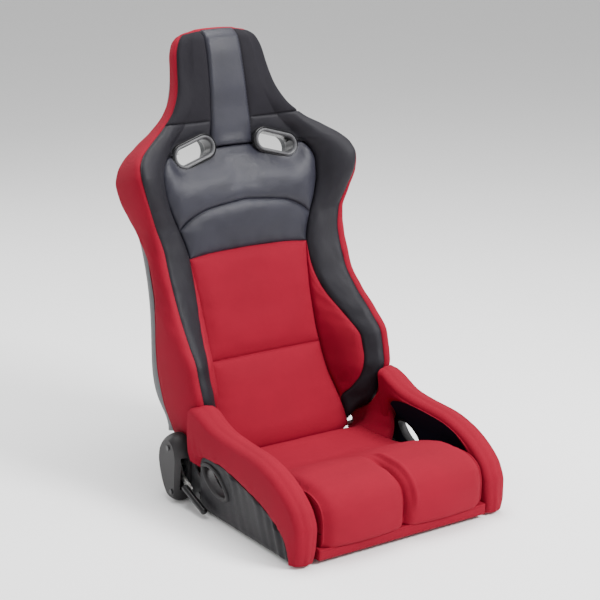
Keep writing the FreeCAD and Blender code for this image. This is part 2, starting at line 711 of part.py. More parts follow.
def shell_loft(inset, low, high, rim):
    """Tub section at every station, open or closed to the front at depth rim."""
    wires = []
    rows = stations(SHELL_STATIONS, "shell_z", "shell_half", "shell_deep")
    for i, (z, half, deep) in enumerate(rows):
        z = low if i == 0 else high if i == len(rows) - 1 else z
        w, d = half - inset, deep - inset
        right = [(w, rim), (w - 1, (rim + d) / 2), (w - 9, d - 8), (w * 0.72, d - 1), (0, d)]
        left = [(-a, b) for a, b in reversed(right[:-1])]
        back = spline([Vector(a, b, z) for a, b in right + left])
        wires.append(Part.Wire([back, line(Vector(-w, rim, z), Vector(w, rim, z))]))
    return Part.makeLoft(wires, True)


def back_shell():
    """Moulded tub that closes the back, dished in around both harness slots."""
    wall, floor, radius = size("shell_wall"), size("dish_floor"), size("dish_rad")
    rows = stations(SHELL_STATIONS, "shell_z")
    low, high = rows[0][0], rows[-1][0]
    outside = shell_loft(0, low, high, 27).cut(slot_prisms(radius, floor))
    inside = shell_loft(wall, low - 2, high - wall, 20).cut(slot_prisms(radius + wall, floor - wall))
    tub = outside.cut(inside).cut(slot_tools(0.3))
    screws = []
    for x, z in ((a, b) for a in (-120, 120) for b in (120, 500)):
        tub = tub.cut(Part.makeCylinder(2.7, 60, Vector(x, 60, z), Vector(0, 1, 0)))
        screw = Part.makeCylinder(2.4, 39, Vector(x, 48, z), Vector(0, 1, 0))
        screws.append(screw.fuse(Part.makeCylinder(6, 2.5, Vector(x, 87, z), Vector(0, 1, 0))))
    lean(shaped("back_shell", tub))
    lean(shaped("shell_screws", Part.makeCompound(screws)))


def front_section(half, edge, middle, back, z):
    """Section of a pad that spans the back: a smooth front and a flat rear."""
    a, b = Vector(-half, edge, z), Vector(half, edge, z)
    c, d = Vector(half, back, z), Vector(-half, back, z)
    rise = edge - middle
    front = spline([a, Vector(-half * 0.6, edge - rise * 0.66, z), Vector(0, middle, z),
                    Vector(half * 0.6, edge - rise * 0.66, z), b])
    return Part.Wire([front, line(b, c), line(c, d), line(d, a)])


def back_centre():
    """The whole centre of the back, from its foot to the head, as one block."""
    rows = stations(BACK_STATIONS, "back_z", "panel_half", "seam")
    rows.insert(0, [size("pad_low"), rows[0][1] - 3, rows[0][2]])
    middle = stations(BACK_MIDDLE, "mid_z", "mid_y")
    gap = size("side_gap")
    wires = [front_section(half - gap, edge, mid[1], size("pad_back"), z)
             for (z, half, edge), mid in zip(rows, middle)]
    return Part.makeLoft(wires, True)


def under_arch(edge, apex):
    """Everything below a curve that crosses the back, edge high at the sides, apex between."""
    arc = Part.Arc(Vector(-260, -200, edge), Vector(0, -200, apex), Vector(260, -200, edge))
    floor = [Vector(260, -200, edge), Vector(260, -200, -50), Vector(-260, -200, -50),
             Vector(-260, -200, edge)]
    rim = [arc.toShape()] + [line(a, b) for a, b in zip(floor, floor[1:])]
    return Part.Face(Part.Wire(rim)).extrude(Vector(0, 400, 0))


def strip_prism(grow):
    """The raised strip's outline from the front, wider at its foot."""
    corners = [(-53 - grow, 650 - grow), (53 + grow, 650 - grow), (42 + grow, 892),
               (42 + grow, 930), (-42 - grow, 930), (-42 - grow, 892)]
    return polygon_prism([Vector(x, 0, z) for x, z in corners], Vector(0, -100, 0),
                         Vector(0, 122, 0))


def head_block():
    rows = stations(HEAD_STATIONS, "head_z", "head_half", "head_edge", "head_mid")
    wires = [front_section(half, edge, mid, size("bolster_back"), z)
             for z, half, edge, mid in rows]
    return Part.makeLoft(wires, True)


def slot_recess():
    """Room for the harness bezels: the lip in front and the tunnel behind it."""
    radius = size("slot_rad") + size("bezel_wall") + size("bezel_lip") - 1 + 0.3
    lips = [at_slot(stadium(size("slot_half_run"), radius, -60, 12.3), s) for _, s in SIDES]
    return slot_tools(0.3).fuse(lips)


def back_pads():
    """Pads across the back: seat-back, arch, shoulder and head, with the raised head strip."""
    centre, gap = back_centre(), size("pad_gap")
    red, arch = under_arch(466, 424), under_arch(432, 522)
    red_gap, arch_gap = under_arch(466 + gap, 424 + gap), under_arch(432 + gap, 522 + gap)
    upper = centre.cut(arch_gap.fuse(red_gap)).cut(slot_recess()).cut(strip_prism(gap))
    lean(shaped("back_pad", centre.common(red)))
    lean(shaped("arch_pad", centre.common(arch).cut(red_gap)))
    top = Part.makeBox(400, 200, 60, Vector(-200, -100, 694 - gap))
    lean(shaped("shoulder_pad", upper.cut(top)))
    head = head_block()
    strip = centre.common(strip_prism(0)).fuse(head.common(strip_prism(0)))
    lean(shaped("head_strip", strip.cut(slot_recess()).removeSplitter()))
    lean(shaped("head_pad", head.cut(strip_prism(gap))))


def bolster_section(z, half, crest, panel, seam):
    """Section of a back bolster: flat against the centre pad, rounded over its crest."""
    wide, back = half - panel, size("bolster_back")
    front = [(panel, seam), (panel + wide * 0.3, seam + (crest - seam) * 0.62),
             (panel + wide * 0.62, crest), (panel + wide * 0.87, crest + (back - crest) * 0.16),
             (half, crest + (back - crest) * 0.6), (half - 1, back)]
    curve = spline([Vector(x, y, z) for x, y in front])
    corner = Vector(panel, back, z)
    return Part.Wire([curve, line(Vector(half - 1, back, z), corner),
                      line(corner, Vector(panel, seam, z))])


def back_bolsters():
    rows = stations(BACK_STATIONS, "back_z", "back_half", "crest", "panel_half", "seam")
    bolster = Part.makeLoft([bolster_section(*row) for row in rows], True)
    for side, sign in SIDES:
        lean(shaped(f"back_bolster_{side}", on_side(bolster, sign)))


def harness_bezels():
    """Front and rear halves of each harness tunnel, lipped over the pad and the shell."""
    run, bore, wall = size("slot_half_run"), size("slot_rad"), size("bezel_wall")
    front, split = size("bezel_front"), size("tunnel_split")
    lip = bore + wall + size("bezel_lip") - 1
    low, high = size("dish_floor") + 0.4, size("dish_floor") + 4.5
    layout = (("front", [(bore + wall, front, split), (lip, front, front + 8)]),
              ("rear", [(bore + wall, split + 0.3, high), (size("dish_rad") - 2, low, high)]))
    for place_name, rings in layout:
        for side, sign in SIDES:
            solid = stadium(run, *rings[0]).fuse(stadium(run, *rings[1]))
            solid = solid.cut(stadium(run, bore, -20, 120))
            lean(shaped(f"harness_bezel_{place_name}_{side}", at_slot(solid, sign)))


# ---------------------------------------------------------------- output

def export():
    os.makedirs("parts", exist_ok=True)
    DOC.recompute()
    for thing in DOC.Objects:
        if "Invalid" in thing.State or "Error" in thing.State:
            raise RuntimeError(f"{thing.Label} failed: {thing.State}")
    for piece in PIECES:
        if piece.Shape.isNull() or not piece.Shape.isValid():
            raise RuntimeError(f"{piece.Label}: the shape is not valid")
        piece.Shape.exportStep(os.path.join("parts", piece.Label + ".step"))
        box = piece.Shape.BoundBox
        print(f"{piece.Label:28s}{len(piece.Shape.Solids):3d}{piece.Shape.Volume / 1000:9.1f} cm3",
              " ".join(f"{v:7.1f}" for v in (box.XMin, box.XMax, box.YMin, box.YMax,
                                             box.ZMin, box.ZMax)))


for build in (side_channels, cross_tubes, mounting, seat_pan, pan_brackets, seat_springs,
              recliners, recliner_covers, assist_springs, release_gear, lever_grip, cushion,
              side_trim, back_frame, back_shell, back_pads, back_bolsters, harness_bezels):
    build()
export()
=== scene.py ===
"""Looks of the reclining racing seat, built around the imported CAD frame.

Lengths inside the shape functions are millimetres and become metres where a mesh is made.
Backrest shapes are worked out upright about the recliner axis, as (x, n, s): x to the sitter's
left, n to the rear and s up the back, and lean() then tips them to the rest angle.
"""
import json
import math

import bmesh
import bpy
import numpy as np
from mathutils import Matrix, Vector


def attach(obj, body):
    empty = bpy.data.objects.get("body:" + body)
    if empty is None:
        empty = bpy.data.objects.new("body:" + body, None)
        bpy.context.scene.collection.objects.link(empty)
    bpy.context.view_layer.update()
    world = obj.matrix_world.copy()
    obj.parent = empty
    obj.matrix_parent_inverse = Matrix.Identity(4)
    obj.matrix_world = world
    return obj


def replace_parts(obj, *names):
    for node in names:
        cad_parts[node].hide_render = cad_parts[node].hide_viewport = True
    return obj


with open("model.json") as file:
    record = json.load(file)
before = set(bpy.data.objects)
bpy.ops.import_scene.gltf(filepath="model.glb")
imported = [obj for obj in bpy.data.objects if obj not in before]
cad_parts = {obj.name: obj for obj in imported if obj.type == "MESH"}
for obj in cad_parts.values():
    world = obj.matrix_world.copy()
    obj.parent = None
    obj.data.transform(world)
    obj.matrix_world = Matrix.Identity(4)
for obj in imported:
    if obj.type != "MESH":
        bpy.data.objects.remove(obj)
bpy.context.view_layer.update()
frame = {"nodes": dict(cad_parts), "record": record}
NODES = frame["nodes"]
MM = 0.001
FULL_TURN = 2 * math.pi
PIVOT = (0.0, 145.0, 80.0)
TILT = math.radians(16)
SIDES = (("left", 1), ("right", -1))


# ------------------------------------------------------------------ small maths

def curve(knots, x):
    """Smooth curve through (x, value) knots, without overshoot, flat beyond its ends."""
    kx = np.array([k[0] for k in knots], float)
    ky = np.array([k[1] for k in knots], float)
    step, rise = np.diff(kx), np.diff(ky)
    slope = rise / step
    mid = np.zeros(len(kx))
    same = slope[1:] * slope[:-1] > 0
    mean = 2 * slope[1:] * slope[:-1] / np.where(same, slope[1:] + slope[:-1], 1)
    mid[1:-1] = np.where(same, mean, 0)
    mid[0], mid[-1] = slope[0], slope[-1]
    x = np.clip(np.asarray(x, float), kx[0], kx[-1])
    i = np.clip(np.searchsorted(kx, x) - 1, 0, len(step) - 1)
    h = step[i]
    t = (x - kx[i]) / h
    return (ky[i] * (1 + 2 * t) * (1 - t) ** 2 + ky[i + 1] * t * t * (3 - 2 * t)
            + h * t * (1 - t) ** 2 * mid[i] + h * t * t * (t - 1) * mid[i + 1])


def spread(points, t):
    """Point at t from 0 to 1 along a list of points, smooth in every coordinate."""
    at = np.linspace(0, 1, len(points))
    return np.stack([curve(list(zip(at, column)), t) for column in zip(*points)], -1)


def ease(t):
    t = np.clip(t, 0, 1)
    return t * t * (3 - 2 * t)


def lean(p):
    """Backrest coordinates (x, n, s) to the row frame, both in millimetres."""
    x, n, s = p[..., 0], p[..., 1], p[..., 2]
    c, d = math.cos(TILT), math.sin(TILT)
    return np.stack([x, PIVOT[1] + n * c + s * d, PIVOT[2] + s * c - n * d], -1)


def normals(p):
    """Unit normals of a grid of points."""
    n = np.cross(np.gradient(p, axis=0), np.gradient(p, axis=1))
    return n / np.maximum(np.linalg.norm(n, axis=-1, keepdims=True), 1e-9)


def edge_distance(p, axis):
    """Distance along the grid from its first and last row on one axis."""
    d = np.linalg.norm(np.diff(p, axis=axis), axis=-1)
    run = np.cumsum(d, axis=axis)
    first = np.concatenate([np.zeros_like(np.take(run, [0], axis)), run], axis)
    return first, np.take(first, [-1], axis) - first


# ------------------------------------------------------------------ mesh making

def make_object(name, verts, faces, materials, smooth_angle=50):
    """Mesh object from points in millimetres, with outward normals and smooth shading."""
    mesh = bpy.data.meshes.new(name)
    mesh.from_pydata([tuple(v) for v in np.asarray(verts, float) * MM], [], faces)
    bm = bmesh.new()
    bm.from_mesh(mesh)
    bmesh.ops.recalc_face_normals(bm, faces=bm.faces)
    bm.to_mesh(mesh)
    bm.free()
    mesh.polygons.foreach_set("use_smooth", [True] * len(mesh.polygons))
    mesh.set_sharp_from_angle(angle=math.radians(smooth_angle))
    obj = bpy.data.objects.new(name, mesh)
    bpy.context.scene.collection.objects.link(obj)
    for m in materials if isinstance(materials, (list, tuple)) else [materials]:
        mesh.materials.append(m)
    return obj


def grid_faces(na, nb):
    """Quads of a grid of na by nb points."""
    return [(i * nb + k, (i + 1) * nb + k, (i + 1) * nb + k + 1, i * nb + k + 1)
            for i in range(na - 1) for k in range(nb - 1)]


def closed_grid(name, front, back, material, pierced=None):
    """Closed pad from a front and a back grid, walled round its rim and any pierced cells."""
    na, nb = front.shape[:2]
    count = na * nb
    kept = np.ones((na - 1, nb - 1), bool) if pierced is None else ~pierced
    faces = []
    sides = ((0, -1), (1, 0), (0, 1), (-1, 0))
    for i, k in zip(*np.nonzero(kept)):
        quad = (i * nb + k, (i + 1) * nb + k, (i + 1) * nb + k + 1, i * nb + k + 1)
        faces += [quad, tuple(v + count for v in quad[::-1])]
        for (di, dk), p, q in zip(sides, quad, quad[1:] + quad[:1]):
            m, n = i + di, k + dk
            if not (0 <= m < na - 1 and 0 <= n < nb - 1 and kept[m, n]):
                faces.append((q, p, p + count, q + count))
    verts = np.concatenate([front.reshape(-1, 3), back.reshape(-1, 3)])
    used = np.unique(np.array(faces))
    place = np.zeros(len(verts), int)
    place[used] = np.arange(len(used))
    return make_object(name, verts[used], [tuple(int(place[v]) for v in f) for f in faces],
                       material)


def tube_rings(name, rings, material, closed=False):
    """Surface through a list of closed rings of points, with flat ends unless it is a loop."""
    rings = np.asarray(rings, float)
    na, nb = rings.shape[:2]
    faces = []
    for i in range(na if closed else na - 1):
        j = (i + 1) % na
        for k in range(nb):
            m = (k + 1) % nb
            faces.append((i * nb + k, j * nb + k, j * nb + m, i * nb + m))
    if not closed:
        faces.append(tuple(range(nb - 1, -1, -1)))
        faces.append(tuple((na - 1) * nb + k for k in range(nb)))
    return make_object(name, rings.reshape(-1, 3), faces, material)


CLOTH_FRAMES = 14
SMOOTHING = 14


def cloth(front, free, pressure, shrink, cap):
    """Lets the free points of a grid swell as sewn cloth held along its seams.

    The movement is capped and smoothed, so that a taut crown stays and creases don't.
    """
    na, nb = front.shape[:2]
    mesh = bpy.data.meshes.new("cloth")
    mesh.from_pydata([tuple(v) for v in front.reshape(-1, 3) * MM], [], grid_faces(na, nb))
    obj = bpy.data.objects.new("cloth", mesh)
    bpy.context.scene.collection.objects.link(obj)
    held = obj.vertex_groups.new(name="held")
    weight = 1 - free.reshape(-1)
    for i, w in enumerate(weight):
        if w > 0:
            held.add([i], float(w), "REPLACE")
    scene = bpy.context.scene
    scene.frame_set(1)
    mod = obj.modifiers.new("cloth", "CLOTH")
    s = mod.settings
    s.quality = 5
    s.mass = 0.3
    s.tension_stiffness = s.compression_stiffness = 12
    s.shear_stiffness = 6
    s.bending_stiffness = 3
    s.air_damping = 4
    s.vertex_group_mass = "held"
    s.pin_stiffness = 1
    s.use_pressure = True
    s.uniform_pressure_force = pressure
    s.shrink_min = -shrink
    s.effector_weights.gravity = 0
    mod.collision_settings.use_self_collision = False
    mod.point_cache.frame_end = CLOTH_FRAMES
    for f in range(1, CLOTH_FRAMES + 1):
        scene.frame_set(f)
    shaped = obj.evaluated_get(bpy.context.evaluated_depsgraph_get())
    out = np.empty(na * nb * 3)
    shaped.data.vertices.foreach_get("co", out)
    bpy.data.objects.remove(obj)
    move = out.reshape(na, nb, 3) / MM - front
    far = np.linalg.norm(move, axis=-1, keepdims=True)
    move = np.nan_to_num(move * np.minimum(1, cap / np.maximum(far, 1e-6)))
    for _ in range(SMOOTHING):
        around = np.pad(move, ((1, 1), (1, 1), (0, 0)), "edge")
        move = (around[:-2, 1:-1] + around[2:, 1:-1] + around[1:-1, :-2] + around[1:-1, 2:]) / 4
        move = move * free[..., None] ** 0.2
    return front + move


SEAMS = {}


def pad(name, body, shape, inner, counts, material, nodes=(), puff=3.0, roll=14.0,
        sink=3.0, edges=(1, 1, 1, 1), cloth_args=None, place=lean, extra=None,
        hollow=None, pierce=None, cluster=0.35):
    """One sewn panel: a grid on shape(a, b), rounded down to its seams and closed behind.

    edges says how far each side (a=0, a=1, b=0, b=1) is drawn in as a seam, from 0 to 1. puff is
    the height of the middle, sink the depth of the seams and roll the width of the rounding.
    extra and hollow add small shapes along the normal, and pierce says which cells are left out.
    """
    def steps(n):
        t = np.linspace(0, 1, n)
        return (1 - cluster) * t + cluster * (0.5 - 0.5 * np.cos(math.pi * t))
    a, b = np.meshgrid(steps(counts[0]), steps(counts[1]), indexing="ij")
    base = shape(a, b)
    n = normals(base)
    deep = inner(a, b, base)
    if np.sum(n * (base - deep)) < 0:
        n = -n
    dist = edge_distance(base, 0) + edge_distance(base, 1)
    near = sum(e * (np.maximum(d, 0.4) / roll) ** -3.0 for e, d in zip(edges, dist))
    t = np.clip(np.maximum(near, 1e-9) ** (-1 / 3), 0, 1)
    height = -sink + (puff + sink) * np.sqrt(1 - (1 - t) ** 2)
    front = base + n * height[..., None]
    if extra is not None:
        front = front + n * extra(a, b, dist)[..., None]
    if hollow is not None:
        front = front + n * hollow(base)[..., None]
    front, deep = place(front), place(deep)
    if cloth_args:
        free = np.clip(np.minimum.reduce(dist) / (roll * 0.6), 0, 1) ** 0.5
        free[0], free[-1], free[:, 0], free[:, -1] = 0, 0, 0, 0
        if np.sum(normals(front) * (front - deep)) < 0:
            front, deep = front[::-1], deep[::-1]
            free = free[::-1]
            front = cloth(front, free, *cloth_args)[::-1]
            deep = deep[::-1]
        else:
            front = cloth(front, free, *cloth_args)
    middle = (base[:-1, :-1] + base[1:, 1:]) / 2
    obj = closed_grid(name, front, deep, material, pierce(middle) if pierce else None)
    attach(obj, body)
    if nodes:
        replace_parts(obj, *nodes)
    SEAMS[name] = front
    return obj


def seam_line(name, side, inset):
    """Points and outward normals that run beside one edge of a pad, inset from it."""
    front = SEAMS[name]
    if side in ("b0", "b1"):
        front = np.swapaxes(front, 0, 1)
    if side in ("a1", "b1"):
        front = front[::-1]
    run = np.concatenate([np.zeros((1,) + front.shape[1:2]), np.cumsum(
        np.linalg.norm(np.diff(front, axis=0), axis=-1), axis=0)])
    n = normals(front)
    points, out = [], []
    for k in range(front.shape[1]):
        points.append([np.interp(inset, run[:, k], front[:, k, c]) for c in range(3)])
        out.append([np.interp(inset, run[:, k], n[:, k, c]) for c in range(3)])
    return np.array(points), np.array(out)


def stitches(name, body, lines, material, size=(4.2, 2.4, 0.55)):
    """A row of small raised stitches along every line of (points, normals, centre)."""
    length, gap, radius = size
    verts, faces = [], []
    angles = np.linspace(0, FULL_TURN, 6, endpoint=False)
    for points, out, centre in lines:
        run = np.concatenate([[0], np.cumsum(np.linalg.norm(np.diff(points, axis=0), axis=1))])
        flip = -1 if np.sum(out * (points - np.asarray(centre))) < 0 else 1
        count = int(run[-1] / (length + gap))
        for i in range(count):
            at = (i + 0.5) * run[-1] / count + np.array([-0.5, -0.28, 0.28, 0.5]) * length
            spots = np.stack([np.interp(at, run, points[:, c]) for c in range(3)], 1)
            up = np.array([np.interp(at[1], run, out[:, c]) for c in range(3)]) * flip
            along = spots[-1] - spots[0]
            along /= max(np.linalg.norm(along), 1e-9)
            up -= along * np.dot(up, along)
            up /= max(np.linalg.norm(up), 1e-9)
            side = np.cross(along, up)
            start = len(verts)
            for spot, lift, wide in zip(spots, (-0.5, 0.35, 0.35, -0.5), (0.6, 1, 1, 0.6)):
                for w in angles:
                    verts.append(spot + up * (lift * radius + math.sin(w) * radius * wide)
                                 + side * math.cos(w) * radius * wide)
            for r in range(3):
                for k in range(6):
                    m = (k + 1) % 6
                    faces.append((start + r * 6 + k, start + r * 6 + m,
                                  start + r * 6 + 6 + m, start + r * 6 + 6 + k))
            faces.append(tuple(start + k for k in range(5, -1, -1)))
            faces.append(tuple(start + 18 + k for k in range(6)))
    obj = make_object(name, verts, faces, material)
    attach(obj, body)
    return obj


def cord_tube(name, body, points, radius, material):
    """Round piping along a line of points."""
    points = np.asarray(points, float)
    along = np.gradient(points, axis=0)
    along /= np.linalg.norm(along, axis=1, keepdims=True)
    side = np.cross(along, (0, 0, 1))
    weak = np.linalg.norm(side, axis=1) < 0.2
    side[weak] = np.cross(along[weak], (1, 0, 0))
    side /= np.linalg.norm(side, axis=1, keepdims=True)
    up = np.cross(side, along)
    w = np.linspace(0, FULL_TURN, 10, endpoint=False)
    rings = [p + radius * (np.cos(w)[:, None] * s + np.sin(w)[:, None] * u)
             for p, s, u in zip(points, side, up)]
    obj = tube_rings(name, rings, material)
    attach(obj, body)
    return obj


def cut_with(obj, tools):
    """Cuts closed tool meshes out of a closed object, and removes the tools."""
    for tool in tools:
        mod = obj.modifiers.new("cut", "BOOLEAN")
        mod.operation = "DIFFERENCE"
        mod.solver = "EXACT"
        mod.object = tool
    bpy.context.view_layer.update()
    done = obj.evaluated_get(bpy.context.evaluated_depsgraph_get())
    mesh = bpy.data.meshes.new_from_object(done)
    obj.modifiers.clear()
    old, obj.data = obj.data, mesh
    bpy.data.meshes.remove(old)
    for tool in tools:
        bpy.data.objects.remove(tool)
    return obj


# ------------------------------------------------------------------ materials

class Graph:
    """Short way to build a node material."""

    def __init__(self, name):
        self.material = bpy.data.materials.new(name)
        self.material.use_nodes = True
        self.tree = self.material.node_tree
        self.shader = self.tree.nodes["Principled BSDF"]
        self.place = self.add("ShaderNodeTexCoord").outputs["Object"]

    def add(self, kind, inputs=(), **settings):
        node = self.tree.nodes.new(kind)
        for key, value in settings.items():
            setattr(node, key, value)
        for key, value in dict(inputs).items():
            if isinstance(value, bpy.types.NodeSocket):
                self.tree.links.new(value, node.inputs[key])
            else:
                node.inputs[key].default_value = value
        return node

    def noise(self, scale, detail=3, rough=0.55, vector=None):
        return self.add("ShaderNodeTexNoise", {"Vector": vector or self.place, "Scale": scale,
                        "Detail": detail, "Roughness": rough}).outputs["Fac"]

    def math(self, operation, a, b=0.0):
        return self.add("ShaderNodeMath", {0: a, 1: b}, operation=operation).outputs[0]

    def scale(self, value, low, high):
        return self.add("ShaderNodeMapRange", {"Value": value, "To Min": low, "To Max": high},
                        clamp=True).outputs[0]

    def ramp(self, value, stops):
        node = self.add("ShaderNodeValToRGB", {"Fac": value})
        elements = node.color_ramp.elements
        while len(elements) < len(stops):
            elements.new(0.5)
        for element, (at, colour) in zip(elements, stops):
            element.position = at
            element.color = (*colour, 1)
        return node.outputs["Color"]

    def wave(self, weights, pitch):
        """Sine across a skewed direction, so that threads run on faces of any direction."""
        dot = self.add("ShaderNodeVectorMath", {0: self.place, 1: weights},
                       operation="DOT_PRODUCT").outputs["Value"]
        return self.math("SINE", self.math("MULTIPLY", dot, FULL_TURN / (pitch * MM)))

    def bump(self, height, strength, distance, normal=None):
        inputs = {"Height": height, "Strength": strength, "Distance": distance}
        if normal:
            inputs["Normal"] = normal
        return self.add("ShaderNodeBump", inputs).outputs["Normal"]

    def finish(self, colour=None, rough=None, normal=None, **values):
        link = self.tree.links.new
        for key, socket in (("Base Color", colour), ("Roughness", rough), ("Normal", normal)):
            if socket is not None:
                link(socket, self.shader.inputs[key])
        for key, value in values.items():
            self.shader.inputs[key.replace("_", " ").title().replace("Ior", "IOR")
                               ].default_value = value
        return self.material


def fabric(name, dark, light, pitch=1.5, sheen=0.1, rough=(0.78, 0.92), depth=0.0004):
    """Woven cloth: crossed threads, slightly uneven colour, soft sheen."""
    g = Graph(name)
    warp = g.wave((1.0, 0.6, 0.0), pitch)
    weft = g.wave((0.0, 0.8, 1.0), pitch)
    weave = g.scale(g.math("MULTIPLY", warp, weft), 0, 1)
    fuzz = g.noise(900, 2)
    patch = g.noise(9, 4)
    tone = g.math("ADD", g.math("MULTIPLY", weave, 0.35),
                  g.math("ADD", g.math("MULTIPLY", fuzz, 0.35), g.math("MULTIPLY", patch, 0.3)))
    colour = g.ramp(tone, [(0.15, dark), (0.85, light)])
    bump = g.bump(g.math("ADD", weave, fuzz), 0.35, depth)
    return g.finish(colour, g.scale(patch, *rough), bump, sheen_weight=sheen,
                    sheen_roughness=0.45, sheen_tint=(*light, 1), specular_ior_level=0.15)


def leather(name, dark, light, rough=(0.34, 0.5), grain=520, depth=0.0005, spec=0.25):
    """Leather or vinyl: fine cells, pores and a worn, uneven gloss."""
    g = Graph(name)
    cells = g.add("ShaderNodeTexVoronoi", {"Vector": g.place, "Scale": grain},
                  feature="DISTANCE_TO_EDGE").outputs["Distance"]
    pebble = g.ramp(cells, [(0.0, (0, 0, 0)), (0.22, (1, 1, 1))])
    patch = g.noise(14, 5)
    fine = g.noise(1500, 2)
    tone = g.math("ADD", g.math("MULTIPLY", patch, 0.7), g.math("MULTIPLY", fine, 0.3))
    colour = g.ramp(tone, [(0.25, dark), (0.8, light)])
    bump = g.bump(pebble, 0.3, depth)
    bump = g.bump(g.noise(90, 3), 0.12, 0.0015, bump)
    return g.finish(colour, g.scale(patch, *rough), bump, specular_ior_level=spec)


def moulded(name, dark, light, rough=(0.42, 0.55), grain=1100, depth=0.00025):
    """Moulded plastic with a fine spark-eroded texture."""
    g = Graph(name)
    spark = g.noise(grain, 2)
    patch = g.noise(22, 4)
    colour = g.ramp(patch, [(0.3, dark), (0.75, light)])
    return g.finish(colour, g.scale(patch, *rough), g.bump(spark, 0.35, depth),
                    specular_ior_level=0.3)


def metal(name, dark, light, rough=(0.28, 0.45), metallic=1.0, grain=300):
    """Plated or coated steel with faint mottling and fine scratches."""
    g = Graph(name)
    patch = g.noise(35, 5)
    stretched = g.add("ShaderNodeMapping", {"Vector": g.place, "Scale": (0.15, 1.0, 1.0)})
    brushed = g.noise(grain, 3, vector=stretched.outputs["Vector"])
    colour = g.ramp(patch, [(0.3, dark), (0.75, light)])
    return g.finish(colour, g.scale(brushed, *rough), g.bump(brushed, 0.12, 0.0002),
                    metallic=metallic)


RED = fabric("fabric_red", (0.150, 0.0015, 0.010), (0.285, 0.005, 0.024))
RED_THREAD = fabric("thread_red", (0.12, 0.0015, 0.009), (0.22, 0.004, 0.02), pitch=0.6)
LEATHER = leather("leather_black", (0.0110, 0.0110, 0.0160), (0.024, 0.024, 0.035), (0.30, 0.42))
SOFT = leather("leather_soft", (0.0060, 0.0056, 0.0078), (0.0145, 0.0135, 0.0180),
               (0.44, 0.60), 420, spec=0.18)
SUEDE = fabric("suede_black", (0.006, 0.0055, 0.0075), (0.017, 0.0155, 0.020), 2.2, 0.2)
VINYL = leather("vinyl_black", (0.006, 0.0055, 0.007), (0.012, 0.011, 0.014),
                (0.32, 0.46), 380, spec=0.2)
LINING = fabric("lining_fabric", (0.002, 0.003, 0.010), (0.008, 0.010, 0.026), 1.8, 0.1)
BLACK_THREAD = fabric("thread_black", (0.012, 0.012, 0.014), (0.04, 0.04, 0.045), 0.6)
SHELL = moulded("shell_plastic", (0.045, 0.048, 0.052), (0.066, 0.069, 0.074))
TRIM = moulded("trim_plastic", (0.048, 0.048, 0.052), (0.074, 0.074, 0.078), (0.3, 0.42))
COVER = moulded("cover_plastic", (0.013, 0.012, 0.013), (0.020, 0.0185, 0.020))
GRIP = moulded("grip_plastic", (0.008, 0.008, 0.009), (0.016, 0.016, 0.017), (0.16, 0.26), 600)
STEEL_BLACK = metal("steel_black", (0.018, 0.018, 0.02), (0.035, 0.035, 0.037), (0.3, 0.5), 0.0)
STEEL = metal("steel_zinc", (0.42, 0.42, 0.41), (0.58, 0.57, 0.55))
SPRING = metal("spring_steel", (0.16, 0.16, 0.17), (0.27, 0.27, 0.28))
BY_SLOT = {"fabric_red": RED, "leather_black": LEATHER, "suede_black": SUEDE,
           "vinyl_black": VINYL, "lining_fabric": LINING, "shell_plastic": SHELL,
           "trim_plastic": TRIM, "cover_plastic": COVER, "grip_plastic": GRIP,
           "steel_black": STEEL_BLACK, "steel_zinc": STEEL, "spring_steel": SPRING}
for part in frame["record"]["subparts"]:
    node = NODES[part["node"]]
    node.data.materials.clear()
    node.data.materials.append(BY_SLOT[part["material_slot"]])
for name in ("cover_screws", "bracket_bolts", "shell_screws"):
    NODES[name].data.materials[0] = STEEL_BLACK


# ------------------------------------------------------------------ backrest surface

# Height, half width of the centre panel, depth of its seam, depth of the middle, x and depth
# of the bolster's crest, and outer half width.
STATIONS = [
    (0, 168, -16, -22, 205, -30, 232), (30, 164, -14, -16, 212, -46, 238),
    (50, 161, -12, -11, 220, -60, 243), (90, 153, -6, -3, 230, -82, 252),
    (134, 145, 2, 6, 239, -98, 260), (190, 142, 9, 14, 242, -98, 262),
    (240, 140, 12, 18, 239, -76, 258), (300, 140, 13, 20, 231, -43, 249),
    (357, 143, 13, 19, 226, -22, 243), (430, 152, 11, 12, 226, -14, 243),
    (478, 167, 6, 2, 232, -16, 248), (520, 183, 0, -8, 246, -34, 263),
    (560, 192, -5, -6, 258, -54, 277), (592, 193, -8, 2, 262, -60, 281),
    (616, 186, -6, 7, 256, -53, 274), (640, 166, -2, 9, 238, -40, 256),
    (665, 146, 4, 9, 204, -26, 224), (694, 122, 3, 6, 164, -13, 182),
    (728, 100, -2, 2, 132, -9, 146), (774, 84, -5, -6, 111, -4, 123),
    (815, 78, -6, -11, 103, 0, 115), (850, 73, -6, -14, 98, 2, 110),
    (876, 66, -5, -13, 88, 4, 100), (890, 54, -2, -10, 74, 8, 86), (897, 46, 2, -8, 62, 12, 72)]
REAR_EDGE = 26          # depth at which the outer bolster meets the shell's rim
PAD_BACK = 28           # depth of the pads' flat rear
WRAP = 26               # how far the cover may run on over the shell's rim
HEM_TOP, HEM_DEPTH = 12, 12
FOOT_CURL, FOOT_RISE, FOOT_BLEND = 40, 30, 120
HEAD_CURL, HEAD_RUN, HEAD_RISE, HEAD_CROWN = 870, 42, 27, 5
SLOT_X, SLOT_S, SLOT_TILT, SLOT_RUN, SLOT_RAD = 104, 640, math.radians(17), 28, 17


def station(column):
    return [(row[0], row[column]) for row in STATIONS]


